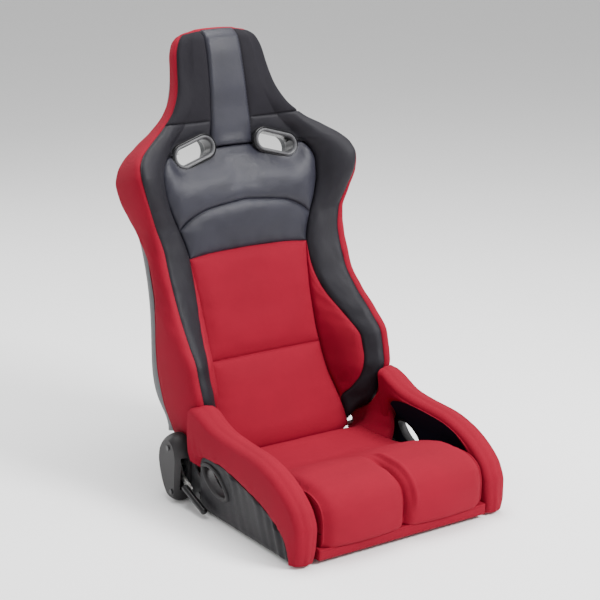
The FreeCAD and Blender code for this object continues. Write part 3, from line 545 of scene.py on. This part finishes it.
def back_surface(u, q):
    """Point on the sewn front of the backrest.

    |u| runs from 0 in the middle, through 1 at the centre panel's seam and 2 at the crest, to 3
    at the rear edge and on over the shell's rim. q is the height, and curls to the rear over
    both ends.
    """
    sign, u = np.sign(u), np.abs(u)
    foot = -12 + 20 * ease((u - 0.85) / 0.25) + 20 * ease((u - 1.05) / 0.6)
    lower = np.clip(1 - q / FOOT_CURL, 0, 1) * math.pi / 2
    upper = np.clip((q - HEAD_CURL) / HEAD_RUN, 0, 1) * math.pi / 2
    above_foot = (q - FOOT_CURL) * (FOOT_BLEND - FOOT_RISE - foot) / (FOOT_BLEND - FOOT_CURL)
    s = np.where(q < FOOT_BLEND, foot + FOOT_RISE + above_foot, q)
    s = np.where(q < FOOT_CURL, foot + FOOT_RISE * (1 - np.sin(lower)), s)
    crown = HEAD_RISE + HEAD_CROWN * (1 - (u / 2) ** 2)
    s = np.where(q > HEAD_CURL, HEAD_CURL + crown * np.sin(upper), s)
    half_panel, seam, middle, xc, crest, half = [curve(station(c), s) for c in range(1, 7)]
    v = np.clip(u - 1, 0, 1)
    w = np.clip(u - 2, 0, 1) * math.pi / 2
    x = np.where(u < 1, u * half_panel, half_panel + (xc - half_panel) * v)
    n = np.where(u < 1, middle + (seam - middle) * np.clip(u, 0, 1) ** 2,
                 seam + (crest - seam) * (1 - (1 - v) ** 2))
    x = x + (half - xc) * np.sin(w) ** 0.85 - 2 * (1 - np.cos(w)) ** 2
    n = n + (REAR_EDGE - crest) * (1 - np.cos(w)) ** 1.1 + WRAP * np.maximum(u - 3, 0)
    n = n + (REAR_EDGE - 2 - n) * (1 - np.cos(upper))
    n = n + (np.where(u < 1, -9, 16) - n) * (1 - np.cos(lower)) * 0.9
    return np.stack([sign * x, n, s], -1)


def u_at(x, q):
    """The u, up to the crest, of a point at distance x from the middle."""
    half_panel, xc = curve(station(1), q), curve(station(4), q)
    return np.where(x < half_panel, x / half_panel, 1 + (x - half_panel) / (xc - half_panel))


def to_rear(a, b, p):
    """Inner side of the pads across the back: a flat plane, and close behind the foot's hem."""
    out = p.copy()
    flat_back = np.maximum(PAD_BACK, p[..., 1] + 2)
    out[..., 1] = np.where(p[..., 2] < HEM_TOP, p[..., 1] + HEM_DEPTH, flat_back)
    return out


def over_rim(a, b, p):
    """Inner side of the outer bolster: the flat plane, then just inside the shell's rim."""
    out = to_rear(a, b, p)
    side = p[..., 1] > REAR_EDGE - 1
    out[..., 1] = np.where(side, np.maximum(p[..., 1], PAD_BACK), out[..., 1])
    out[..., 0] = np.where(side, p[..., 0] - np.sign(p[..., 0]) * 3, p[..., 0])
    return out


def strip_half(q):
    return curve([(640, 54), (700, 49), (800, 44), (880, 42), (912, 40)], q)


SHOULDER_TOP = [(0, 645), (0.5, 643), (0.85, 640), (1, 636)]
RED_TOP = [(0, 424), (0.6, 422), (1, 416)]
ARCH = [(0, 527), (0.5, 516), (0.8, 498), (1, 478)]
CRESCENT = [(0, 1), (64, 1), (80, 1.25), (100, 1.42), (125, 1.49), (155, 1.53), (185, 1.53),
            (230, 1.45), (265, 1.35), (310, 1.21), (360, 1.09), (415, 1.0)]
OUTER = [(0, 2.0), (120, 1.93), (420, 1.93), (500, 2.02), (560, 2.18), (640, 2.35),
         (720, 2.5), (800, 2.5), (912, 2.4)]


def patch(u_low, u_high, q_low, q_high, sign=1):
    """Shape function of a panel between two curves of u(q) and two of q(a)."""
    def shape(a, b):
        low, high = q_low(a), q_high(a)
        q = low + (high - low) * b
        u = u_low(q) + (u_high(q) - u_low(q)) * a
        return back_surface(sign * u, q)
    return shape


def flat(value):
    return lambda t: np.full_like(t, float(value))


def across(knots):
    """Height of an edge that crosses the back, as a function of a from side to side."""
    return lambda a: curve(knots, np.abs(2 * a - 1))


def slot_gap(p):
    """Distance outwards from the nearer harness slot's bore, seen from the front."""
    c, d = math.cos(SLOT_TILT), math.sin(SLOT_TILT)
    x, z = np.abs(p[..., 0]) - SLOT_X, p[..., 2] - SLOT_S
    along, up = x * c - z * d, x * d + z * c
    return np.hypot(np.maximum(np.abs(along) - SLOT_RUN, 0), up) - SLOT_RAD


def dimple(p):
    """Depth of the hollow that the pads are pulled into around the harness slots."""
    return -7 * np.exp(-(np.maximum(slot_gap(p) - 9, 0) / 18) ** 2)


def in_slot(p):
    return slot_gap(p) < 5.5


def wrinkle(seed, reach=30, pitch=26, height=1.2, edges=(0, 1)):
    """Small folds that run in from some seams and fade towards the middle."""
    random = np.random.default_rng(seed)
    waves = [(random.uniform(0.7, 1.5), random.uniform(0, 6.3), random.uniform(0.4, 1))
             for _ in range(5)]

    def extra(a, b, dist):
        total = 0
        for side in edges:
            along = (dist[2] if side < 2 else dist[0]) / pitch
            folds = sum(w * np.sin(along * f * 2 * math.pi + p) for f, p, w in waves) / 2
            total = total + height * folds * np.exp(-dist[side] / reach) * ease(dist[side] / 8)
        return total
    return extra


def backrest():
    full = (flat(-1), flat(1))
    pad("back_pad", "backrest", patch(*full, flat(0), flat(193)), to_rear, (70, 50), RED,
        ["back_pad"], puff=5, roll=30, edges=(0.8, 0.8, 0.3, 1),
        cloth_args=(2.5, 0.006, 5), extra=wrinkle(1, 26, 40, 0.7))
    pad("back_pad_upper", "backrest", patch(*full, flat(193), across(RED_TOP)), to_rear,
        (70, 56), RED, puff=5, roll=30, edges=(0.8, 0.8, 1, 1),
        cloth_args=(2.5, 0.006, 5), extra=wrinkle(2, 26, 40, 0.7))
    pad("arch_pad", "backrest", patch(*full, across(RED_TOP), across(ARCH)), to_rear, (80, 36),
        LEATHER, ["arch_pad"], puff=7, roll=26, sink=4,
        cloth_args=(2.5, 0.006, 4), extra=wrinkle(3, 18, 34, 0.5, (2, 3)))
    pad("shoulder_pad", "backrest",
        patch(*full, across(ARCH), across(SHOULDER_TOP)), to_rear, (110, 70), LEATHER,
        ["shoulder_pad"], puff=6, roll=28, sink=4, cloth_args=(2.5, 0.006, 4),
        extra=wrinkle(4, 22, 36, 0.6), hollow=dimple, pierce=in_slot)
    pad("head_strip", "backrest",
        patch(lambda q: -u_at(strip_half(q), q), lambda q: u_at(strip_half(q), q), flat(647),
              flat(896)), to_rear, (40, 90), LEATHER, ["head_strip"], puff=5,
        roll=10, sink=2, edges=(0.8, 0.8, 0.8, 0.5), hollow=dimple, pierce=in_slot)
    for side, sign in SIDES:
        bolster(side, sign)
    pad("head_band", "backrest", patch(flat(-2.98), flat(2.98), flat(896), flat(911)), to_rear,
        (120, 10), RED, puff=1.5, roll=9, sink=2, edges=(0, 0, 1, 0.6))


def bolster(side, sign):
    outer = lambda q: curve(OUTER, q)
    strip = lambda q: u_at(strip_half(q), q)
    rim = lambda q: 2.99 + 0.8 * ease((q - 400) / 90) - 0.3 * ease((q - 680) / 90)

    def inner_edge(q):
        """Crescent's edge, then the centre seam, then over the slot to the head strip."""
        over = ease((q - 634) / 14)
        return np.maximum(curve(CRESCENT, q), 1) * (1 - over) + strip(q) * over
    pad(f"head_pad_{side}", "backrest", patch(strip, outer, flat(702), flat(896), sign), to_rear,
        (60, 80), SUEDE, ["head_pad"] if sign > 0 else (), puff=3, roll=14,
        sink=2, edges=(1, 0.8, 0.1, 0.7), cloth_args=(1.5, 0.004, 3))
    pad(f"bolster_panel_{side}", "backrest", patch(inner_edge, outer, flat(0), flat(702), sign),
        to_rear, (64, 240), SOFT, puff=3, roll=18, sink=3,
        edges=(1, 0.9, 0.3, 0.1), cloth_args=(1.5, 0.004, 3),
        extra=wrinkle(10 + sign, 20, 52, 0.6), cluster=0, hollow=dimple, pierce=in_slot)
    pad(f"crescent_{side}", "backrest",
        patch(flat(1), lambda q: curve(CRESCENT, q) + 0.004, flat(62), flat(417), sign),
        to_rear, (36, 110), RED, puff=3, roll=16, sink=3,
        edges=(0.9, 1, 0, 0), cloth_args=(1.5, 0.004, 3), extra=wrinkle(20 + sign, 20, 44, 0.35))
    pad(f"back_bolster_{side}", "backrest",
        patch(outer, rim, flat(0), flat(896), sign), over_rim, (48, 260), RED,
        [f"back_bolster_{side}"], puff=3, roll=16, sink=2.5,
        edges=(1, 0.5, 0.1, 0), cloth_args=(1.5, 0.004, 3), extra=wrinkle(30 + sign, 22, 60, 0.4),
        cluster=0)


# ------------------------------------------------------------------ harness slots

def stadium(grow, count=64):
    """Points of the slot's outline grown by grow, about its centre."""
    angle = np.linspace(0, FULL_TURN, count, endpoint=False)
    out = np.stack([np.cos(angle), np.sin(angle)], 1)
    centre = np.stack([np.sign(out[:, 0]) * SLOT_RUN, np.zeros(count)], 1)
    return centre + out * (SLOT_RAD + grow)


def at_slot(flat_points, n, sign):
    """Slot-plane points at depth n, turned and moved to one side's slot."""
    c, s = math.cos(SLOT_TILT), math.sin(SLOT_TILT)
    x, z = flat_points[:, 0], flat_points[:, 1]
    return lean(np.stack([sign * (SLOT_X + x * c + z * s), np.full(len(x), float(n)),
                          SLOT_S - x * s + z * c], 1))


# Sections of the slot's rings: how far out from the bore, and how deep.
FRONT_RING = [(2.2, 30.8), (0.2, 6), (0.6, 2), (2.0, -1.4), (4.2, -3.4), (6.2, -3.2), (7.8, -1.2),
              (8.4, 4), (8.4, 12), (3, 13), (3, 30.8)]
REAR_RING = [(2.2, 31.3), (2.6, 38), (3.4, 40.3), (5, 41.3), (7, 41), (8.6, 39.6), (8.8, 37.2),
             (3, 37), (3, 31.3)]
GASKET = [(8.6, 0.6), (9.8, -0.6), (11.4, 0.4), (12.2, 3.2), (12.2, 12), (8.6, 12)]


def slot_ring(name, section, sign, material):
    """A ring of one section round one side's slot."""
    loops = [at_slot(stadium(grow), depth, sign) for grow, depth in section]
    ring = tube_rings(name, np.swapaxes(np.array(loops), 0, 1), material, closed=True)
    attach(ring, "backrest")
    return ring


def harness_bezels():
    """Rounded grey rings with a sleeve through the back, and a dark gasket round each."""
    for end, section in (("front", FRONT_RING), ("rear", REAR_RING)):
        for side, sign in SIDES:
            name = f"harness_bezel_{end}_{side}"
            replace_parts(slot_ring(name, section, sign, TRIM), name)
    for side, sign in SIDES:
        slot_ring(f"slot_gasket_{side}", GASKET, sign, GRIP)


# ------------------------------------------------------------------ cushion

CUSHION_LINE = [(124, 58), (126, 68), (120, 77), (102, 80), (60, 77), (20, 77), (-20, 81),
                (-62, 92), (-105, 108), (-150, 124), (-195, 134), (-240, 135), (-274, 126),
                (-294, 105), (-300, 78), (-299, 52), (-296, 30)]
GROOVE_START = -150
HEM_LINE = [(-295.5, 31), (-295, 20), (-294, 8)]


def strip_shape(line, x_low, x_high):
    """Sheet that follows a side outline (y, z), between two values of x."""
    def shape(a, b):
        yz = spread(line, b)
        x = x_low + (x_high - x_low) * a
        return np.stack([x, yz[..., 0], yz[..., 1]], -1)
    return shape


def to_floor(a, b, p):
    """Inner side of the cushion pads: down to the pan, or back to it behind the front."""
    out = p.copy()
    top = (p[..., 2] > 60) | (p[..., 1] > 0)
    out[..., 2] = np.where(top, 52, p[..., 2])
    out[..., 1] = np.where(top, np.clip(p[..., 1], -262, 118), -262)
    return out


def as_is(p):
    return p


def groove(p):
    """Deep furrow between the thighs, with a fold beside it, which fades out to the rear."""
    x, ahead = np.abs(p[..., 0]), GROOVE_START - p[..., 1]
    fade = ease(ahead / 80) * (1 - 0.35 * ease((55 - p[..., 2]) / 30))
    fold = 3.6 * np.exp(-((p[..., 0] - 21) / 5) ** 2) * ease((ahead - 4) / 40)
    crease = 2.6 * np.exp(-((p[..., 0] - 13) / 3.5) ** 2) * ease((ahead - 4) / 40)
    low = 1 - ease((96 - p[..., 2]) / 40)
    return (fold - crease) * low - 17 * fade * np.exp(-(x / 8.5) ** 1.4)


def thighs(p):
    """Two crowned thighs, dropping away beside the bolsters."""
    front = ease((-40 - p[..., 1]) / 110)
    crown = 6 * np.sin(math.pi * np.abs(p[..., 0]) / 197) * front
    return groove(p) + crown - 9 * front * np.exp(-((197 - np.abs(p[..., 0])) / 15) ** 2)


def cushion():
    pad("seat_cushion", "base", strip_shape(CUSHION_LINE, -198, 198), to_floor, (150, 170), RED,
        ["seat_pad", "thigh_pad_left", "thigh_pad_right"], puff=3, roll=20, sink=2,
        edges=(1, 1, 0.3, 0.7), cloth_args=(3, 0.006, 5), place=as_is,
        extra=wrinkle(41, 22, 34, 0.9), hollow=thighs)
    pad("front_hem", "base", strip_shape(HEM_LINE, -206, 206), to_floor, (100, 10), RED,
        puff=1.5, roll=6, sink=1.2, edges=(0.4, 0.4, 1, 0.6), place=as_is)


TOP_LINE = [(-292, 7), (-298, 38), (-298, 72), (-285, 107), (-247, 142), (-195, 167),
            (-137, 180), (-68, 184), (-8, 190), (38, 205), (66, 217), (80, 218)]
OUT_LINE = [(-268, 6), (-261, 25), (-250, 42), (-232, 59), (-206, 75), (-160, 94), (-112, 107),
            (-55, 119), (-10, 126), (30, 126), (56, 120), (79, 100)]
IN_LINE = [(-268, 6), (-261, 25), (-252, 50), (-246, 80), (-236, 120), (-196, 153), (-136, 167),
           (-66, 171), (-8, 167), (34, 154), (42, 104), (44, 54)]


BOLSTER_OUT, BOLSTER_IN = 262.0, 206.0
OUT_DROP, IN_DROP = 16, 14        # how far down the rounded top edges reach
OUT_ROUND, IN_ROUND = 18, 16      # how far across they reach
SLACK = 2.5                       # room left for the cloth's outward bulge
WALL_STEPS, ROUND_STEPS, TOP_STEPS, FLOOR_STEPS = 15, 10, 8, 6
QUARTER = [k / ROUND_STEPS * math.pi / 2 for k in range(1, ROUND_STEPS)]


def bolster_ring(t, top, out, inn, fold):
    """Ring of cloth round the bolster: up the outside, over the top and down the inside."""
    narrow = 1 - 0.10 * (1 - ease(t / 0.25))
    x_in = BOLSTER_OUT - (BOLSTER_OUT - BOLSTER_IN) * narrow
    len_out, len_in = np.linalg.norm(out - top), np.linalg.norm(inn - top)
    down_out, down_in = (out - top) / len_out, (inn - top) / len_in
    face = BOLSTER_OUT - SLACK
    ring = []
    for k in range(WALL_STEPS + 1):
        w = 1 - k / WALL_STEPS
        bulge = 2.5 * math.sin(math.pi * w) + fold * 1.6 * w ** 2
        yz = top + down_out * (OUT_DROP + (len_out - OUT_DROP) * w)
        ring.append((face + bulge - 5 * max(0, w - 0.8) / 0.2 * 0.6, *yz))
    for w in QUARTER:
        yz = top + down_out * OUT_DROP * (1 - math.sin(w))
        ring.append((face - OUT_ROUND * (1 - math.cos(w)), *yz))
    start, end = face - OUT_ROUND, x_in + IN_ROUND
    for k in range(TOP_STEPS + 1):
        w = k / TOP_STEPS
        yz = top - down_out * 2.5 * math.sin(math.pi * w)
        ring.append((start + (end - start) * w, *yz))
    for w in QUARTER:
        yz = top + down_in * IN_DROP * (1 - math.cos(w))
        ring.append((end - IN_ROUND * math.sin(w), *yz))
    for k in range(WALL_STEPS + 1):
        w = k / WALL_STEPS
        bulge = 2.0 * math.sin(math.pi * w) + 0.8 * fold * w
        yz = top + down_in * (IN_DROP + (len_in - IN_DROP) * w)
        ring.append((x_in - bulge + 3 * max(0, w - 0.85) / 0.15, *yz))
    first, last = np.array(ring[0]), np.array((x_in + 3, *inn))
    ring += [tuple(last + (first - last) * (k / FLOOR_STEPS)) for k in range(1, FLOOR_STEPS)]
    return ring


def cushion_bolster(side, sign):
    """Arched bolster: a closed ring of cloth at every station along its top line."""
    along = np.linspace(0, 1, 130)
    lines = [spread(line, along) for line in (TOP_LINE, OUT_LINE, IN_LINE)]
    phase = np.random.default_rng(7 + sign).uniform(0, 6.3, 6)
    rings = []
    for t, top, out, inn in zip(along, *lines):
        fold = sum(math.sin(t * f + p) for f, p in zip((31, 47, 66, 83, 110, 140), phase)) / 6
        rings.append(bolster_ring(t, top, out, inn, fold))
    rings = np.array(rings)
    nose, rear = [ring.mean(0) + (ring - ring.mean(0)) * grow
                  for ring, grow in ((rings[0], 0.93), (rings[-1], 0.90))]
    nose[:, 2] -= 1.5
    rear[:, 1] += 3.0
    rings = np.concatenate([nose[None], rings, rear[None]])
    wrap = ease((rings[..., 0] - 228) / 34)
    rings[..., 1] += 18 * wrap * ease((rings[..., 1] - 40) / 44)
    rings[..., 0] += 5 * wrap * ease((rings[..., 1] + 60) / 120)
    rings[..., 0] *= sign
    obj = tube_rings(f"cushion_bolster_{side}", rings, RED)
    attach(obj, "base")
    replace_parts(obj, f"cushion_bolster_{side}")


CHEEK_TOP = [(206, 46, 158), (208, 66, 176), (209, 86, 158), (208, 106, 134), (206, 130, 117),
             (181, 157, 103)]
CHEEK_FOOT = [(188, 14, 62), (178, 44, 62), (168, 78, 62), (166, 102, 64), (172, 126, 67),
              (176, 148, 72)]


def cheek(side, sign):
    """Red cloth that runs from the bolster down and in, beside the sitter's hips."""
    def shape(a, b):
        top, foot = spread(CHEEK_TOP, a), spread(CHEEK_FOOT, a)
        t = b[..., None]
        p = foot + (top - foot) * t
        p[..., 0] += 16 * np.sin(math.pi * b) * (1 - 0.3 * b)
        return p

    def inner(a, b, p):
        out = p.copy()
        out[..., 0] += 7
        return out
    pad(f"cheek_{side}", "base", shape, inner, (60, 50), RED, puff=3, roll=14,
        sink=2, edges=(0.5, 0.5, 0.2, 0.2), place=lambda p: p * np.array([sign, 1, 1]),
        extra=wrinkle(70 + sign, 24, 30, 1.0))


def lining(side, sign):
    """Dark cloth inside the belt recess, from the bolster's lower edge down to the channel."""
    edge = spread(IN_LINE, np.linspace(0.42, 0.83, 90))
    rows = []
    hidden = [(y, edge[-1][1]) for y in (50, 60, 72)]
    for y, z in [(min(y, 41), z) for y, z in edge] + hidden:
        drop = min(z - 26, 112)
        rows.append([(207, y, z + 3), (222, y, (z + drop) / 2 + 4), (236, y, drop + 5),
                     (240.5, y, drop - 4), (241, y, (drop + 56) / 2), (241, y, 56)])
    front = np.array(rows, float)
    back = front + np.array([2.0, 0, 0.8])
    front, back = front * np.array([sign, 1, 1]), back * np.array([sign, 1, 1])
    sheet = closed_grid(f"belt_lining_{side}", front, back, LINING)
    hole = tube_rings("lens_tool", [lens(3.2, x) * np.array([sign, 1, 1]) for x in (232, 262)],
                      LINING)
    cut_with(sheet, [hole])
    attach(sheet, "base")
    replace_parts(sheet, f"belt_lining_{side}")


# ------------------------------------------------------------------ side trim

LENS_AT, LENS_TURN, LENS_REACH, LENS_RISE = (4, 83), math.radians(24.6), 48, 18


def lens(grow, x, count=72):
    """Outline of the lap-belt opening grown by grow, at one x."""
    reach, rise = LENS_REACH + 1.6 * grow, LENS_RISE + grow
    radius = (reach ** 2 + rise ** 2) / (2 * rise)
    half = math.asin(reach / radius)
    points = []
    for i in range(count):
        up = i < count // 2
        k = (i if up else i - count // 2) / (count // 2)
        angle = -half + 2 * half * k
        a, b = radius * math.sin(angle), radius * math.cos(angle) - (radius - rise)
        if not up:
            a, b = -a, -b
        points.append((a, b))
    points = np.array(points)
    tip = np.abs(points[:, 0]) / reach
    points[:, 0] *= 1 - 0.05 * ease((tip - 0.8) / 0.2)
    c, s = math.cos(LENS_TURN), math.sin(LENS_TURN)
    y = LENS_AT[0] + points[:, 0] * c - points[:, 1] * s
    z = LENS_AT[1] + points[:, 0] * s + points[:, 1] * c
    return np.stack([np.full(count, float(x)), y, z], 1)


# Section of the belt opening's ring: how far out from the opening, and its x.
BELT_RING = [(0, 239.5), (0, 255), (0.8, 259), (3, 261.2), (6, 261.2), (8.2, 259.3),
             (8.6, 256.6), (3, 256.4), (3, 239.5)]
PANEL_TOP = [(-266, 8), (-252, 37), (-212, 68), (-160, 90), (-96, 106), (-10, 122), (40, 122),
             (58, 116), (63, 104)]


def side_panel(side, sign):
    """Vinyl outer panel, puckered where it is sewn to the bolster, with the belt opening."""
    random = np.random.default_rng(60 + sign)
    waves = [(random.uniform(0.6, 2.2), random.uniform(0, 6.3)) for _ in range(7)]

    def shape(a, b):
        top = spread(PANEL_TOP, a)
        z = 5 + (top[..., 1] - 5) * b
        x = 255 + 1.5 * np.sin(math.pi * b) - 3 * ease((0.12 - b) / 0.12)
        return np.stack([x * np.ones_like(a), top[..., 0], z], -1)

    def extra(a, b, dist):
        y = shape(a, b)[..., 1]
        slant = y + 0.45 * dist[3]
        folds = sum(np.sin(slant / 8 * f + p) for f, p in waves) / 2.6
        front = ease((20 - y) / 90)
        return 2.4 * folds * np.exp(-dist[3] / 50) * ease(dist[3] / 5) * front

    def inner(a, b, p):
        out = p.copy()
        out[..., 0] = 250
        return out
    mirror = lambda p: p * np.array([sign, 1, 1])
    panel = pad(f"side_panel_{side}", "base", shape, inner, (130, 50), VINYL,
                [f"side_panel_{side}"], puff=0.8, roll=6, sink=0.8, edges=(0.5, 0.8, 0.8, 1),
                place=mirror, extra=extra, cluster=0)
    tool = tube_rings("lens_tool", [lens(3.6, x) * np.array([sign, 1, 1]) for x in (235, 275)],
                      VINYL)
    cut_with(panel, [tool])
    loops = [lens(grow, x) * np.array([sign, 1, 1]) for grow, x in BELT_RING]
    ring = tube_rings(f"belt_bezel_{side}", np.swapaxes(np.array(loops), 0, 1), COVER,
                      closed=True)
    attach(ring, "base")
    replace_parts(ring, f"belt_bezel_{side}")


# ------------------------------------------------------------------ seams and stitching

def seam_details():
    """Stitches beside the main seams, and piping along the cushion's sides."""
    centre = lean(np.array([0, 60.0, 400]))
    for name, seams, thread, slot in (
            ("stitching_black", (("arch_pad", "b1", 5), ("shoulder_pad", "b0", 5),
                                 ("head_strip", "a0", 4), ("head_strip", "a1", 4)),
             BLACK_THREAD, "leather_black"),
            ("stitching_red", (("back_pad", "b1", 4), ("back_pad_upper", "b0", 4)),
             RED_THREAD, "fabric_red")):
        lines = [(*seam_line(*seam), centre) for seam in seams]
        stitches(name, "backrest", lines, thread)
    low = np.array([0, -150.0, 40])
    stitches("stitching_hem", "base", [(*seam_line("front_hem", "b0", 4), low)], RED_THREAD)
    for side, sign in SIDES:
        points, _ = seam_line("seat_cushion", "a1" if sign > 0 else "a0", 3)
        spot = points[:, 1] < -60
        cord_tube(f"piping_{side}", "base", points[spot][:-6] + (0, 0, 0.8), 2.0, RED)


# ------------------------------------------------------------------ room

FLOOR_REACH = 30000
LAMPS = [  # name, place in metres, size, power
    ("key", (1.6, -2.6, 2.8), 1.3, 250), ("fill", (-2.8, -1.8, 1.4), 2.0, 20),
    ("top", (0.2, 0.3, 3.0), 2.0, 130), ("back", (-1.0, 2.8, 1.6), 1.6, 30)]


def room():
    """Pale floor, white world and four soft lights."""
    corners = [(x * FLOOR_REACH, y * FLOOR_REACH, -1)
               for x, y in ((-1, -1), (1, -1), (1, 1), (-1, 1))]
    floor = make_object("floor", corners, [(0, 1, 2, 3)], [])
    g = Graph("floor")
    g.finish(g.ramp(g.noise(2, 2), [(0, (0.93, 0.93, 0.93)), (1, (0.95, 0.95, 0.95))]),
             specular_ior_level=0.2)
    floor.data.materials.append(g.material)
    world = bpy.data.worlds.new("world")
    world.use_nodes = True
    world.node_tree.nodes["Background"].inputs["Color"].default_value = (1, 1, 1, 1)
    world.node_tree.nodes["Background"].inputs["Strength"].default_value = 0.7
    bpy.context.scene.world = world
    for name, place, size, power in LAMPS:
        light = bpy.data.lights.new(name, "AREA")
        light.size = size
        light.energy = power
        lamp = bpy.data.objects.new(name, light)
        lamp.location = place
        aim = Vector((0, 0, 0.45)) - Vector(place)
        lamp.rotation_euler = aim.to_track_quat("-Z", "Y").to_euler()
        bpy.context.scene.collection.objects.link(lamp)


def camera():
    turn, rise = math.radians(-34.114), math.radians(15.918)
    aim = Vector((-math.sin(turn) * math.cos(rise), math.cos(turn) * math.cos(rise),
                  -math.sin(rise)))
    data = bpy.data.cameras.new("camera")
    data.sensor_width = 36
    data.lens = 103.41
    obj = bpy.data.objects.new("camera", data)
    obj.location = (-1.94304, -2.79255, 1.39732)
    obj.rotation_euler = aim.to_track_quat("-Z", "Y").to_euler()
    bpy.context.scene.collection.objects.link(obj)
    bpy.context.scene.camera = obj


camera()
room()
backrest()
harness_bezels()
cushion()
for side_name, side_sign in SIDES:
    cushion_bolster(side_name, side_sign)
    cheek(side_name, side_sign)
    side_panel(side_name, side_sign)
    lining(side_name, side_sign)
seam_details()
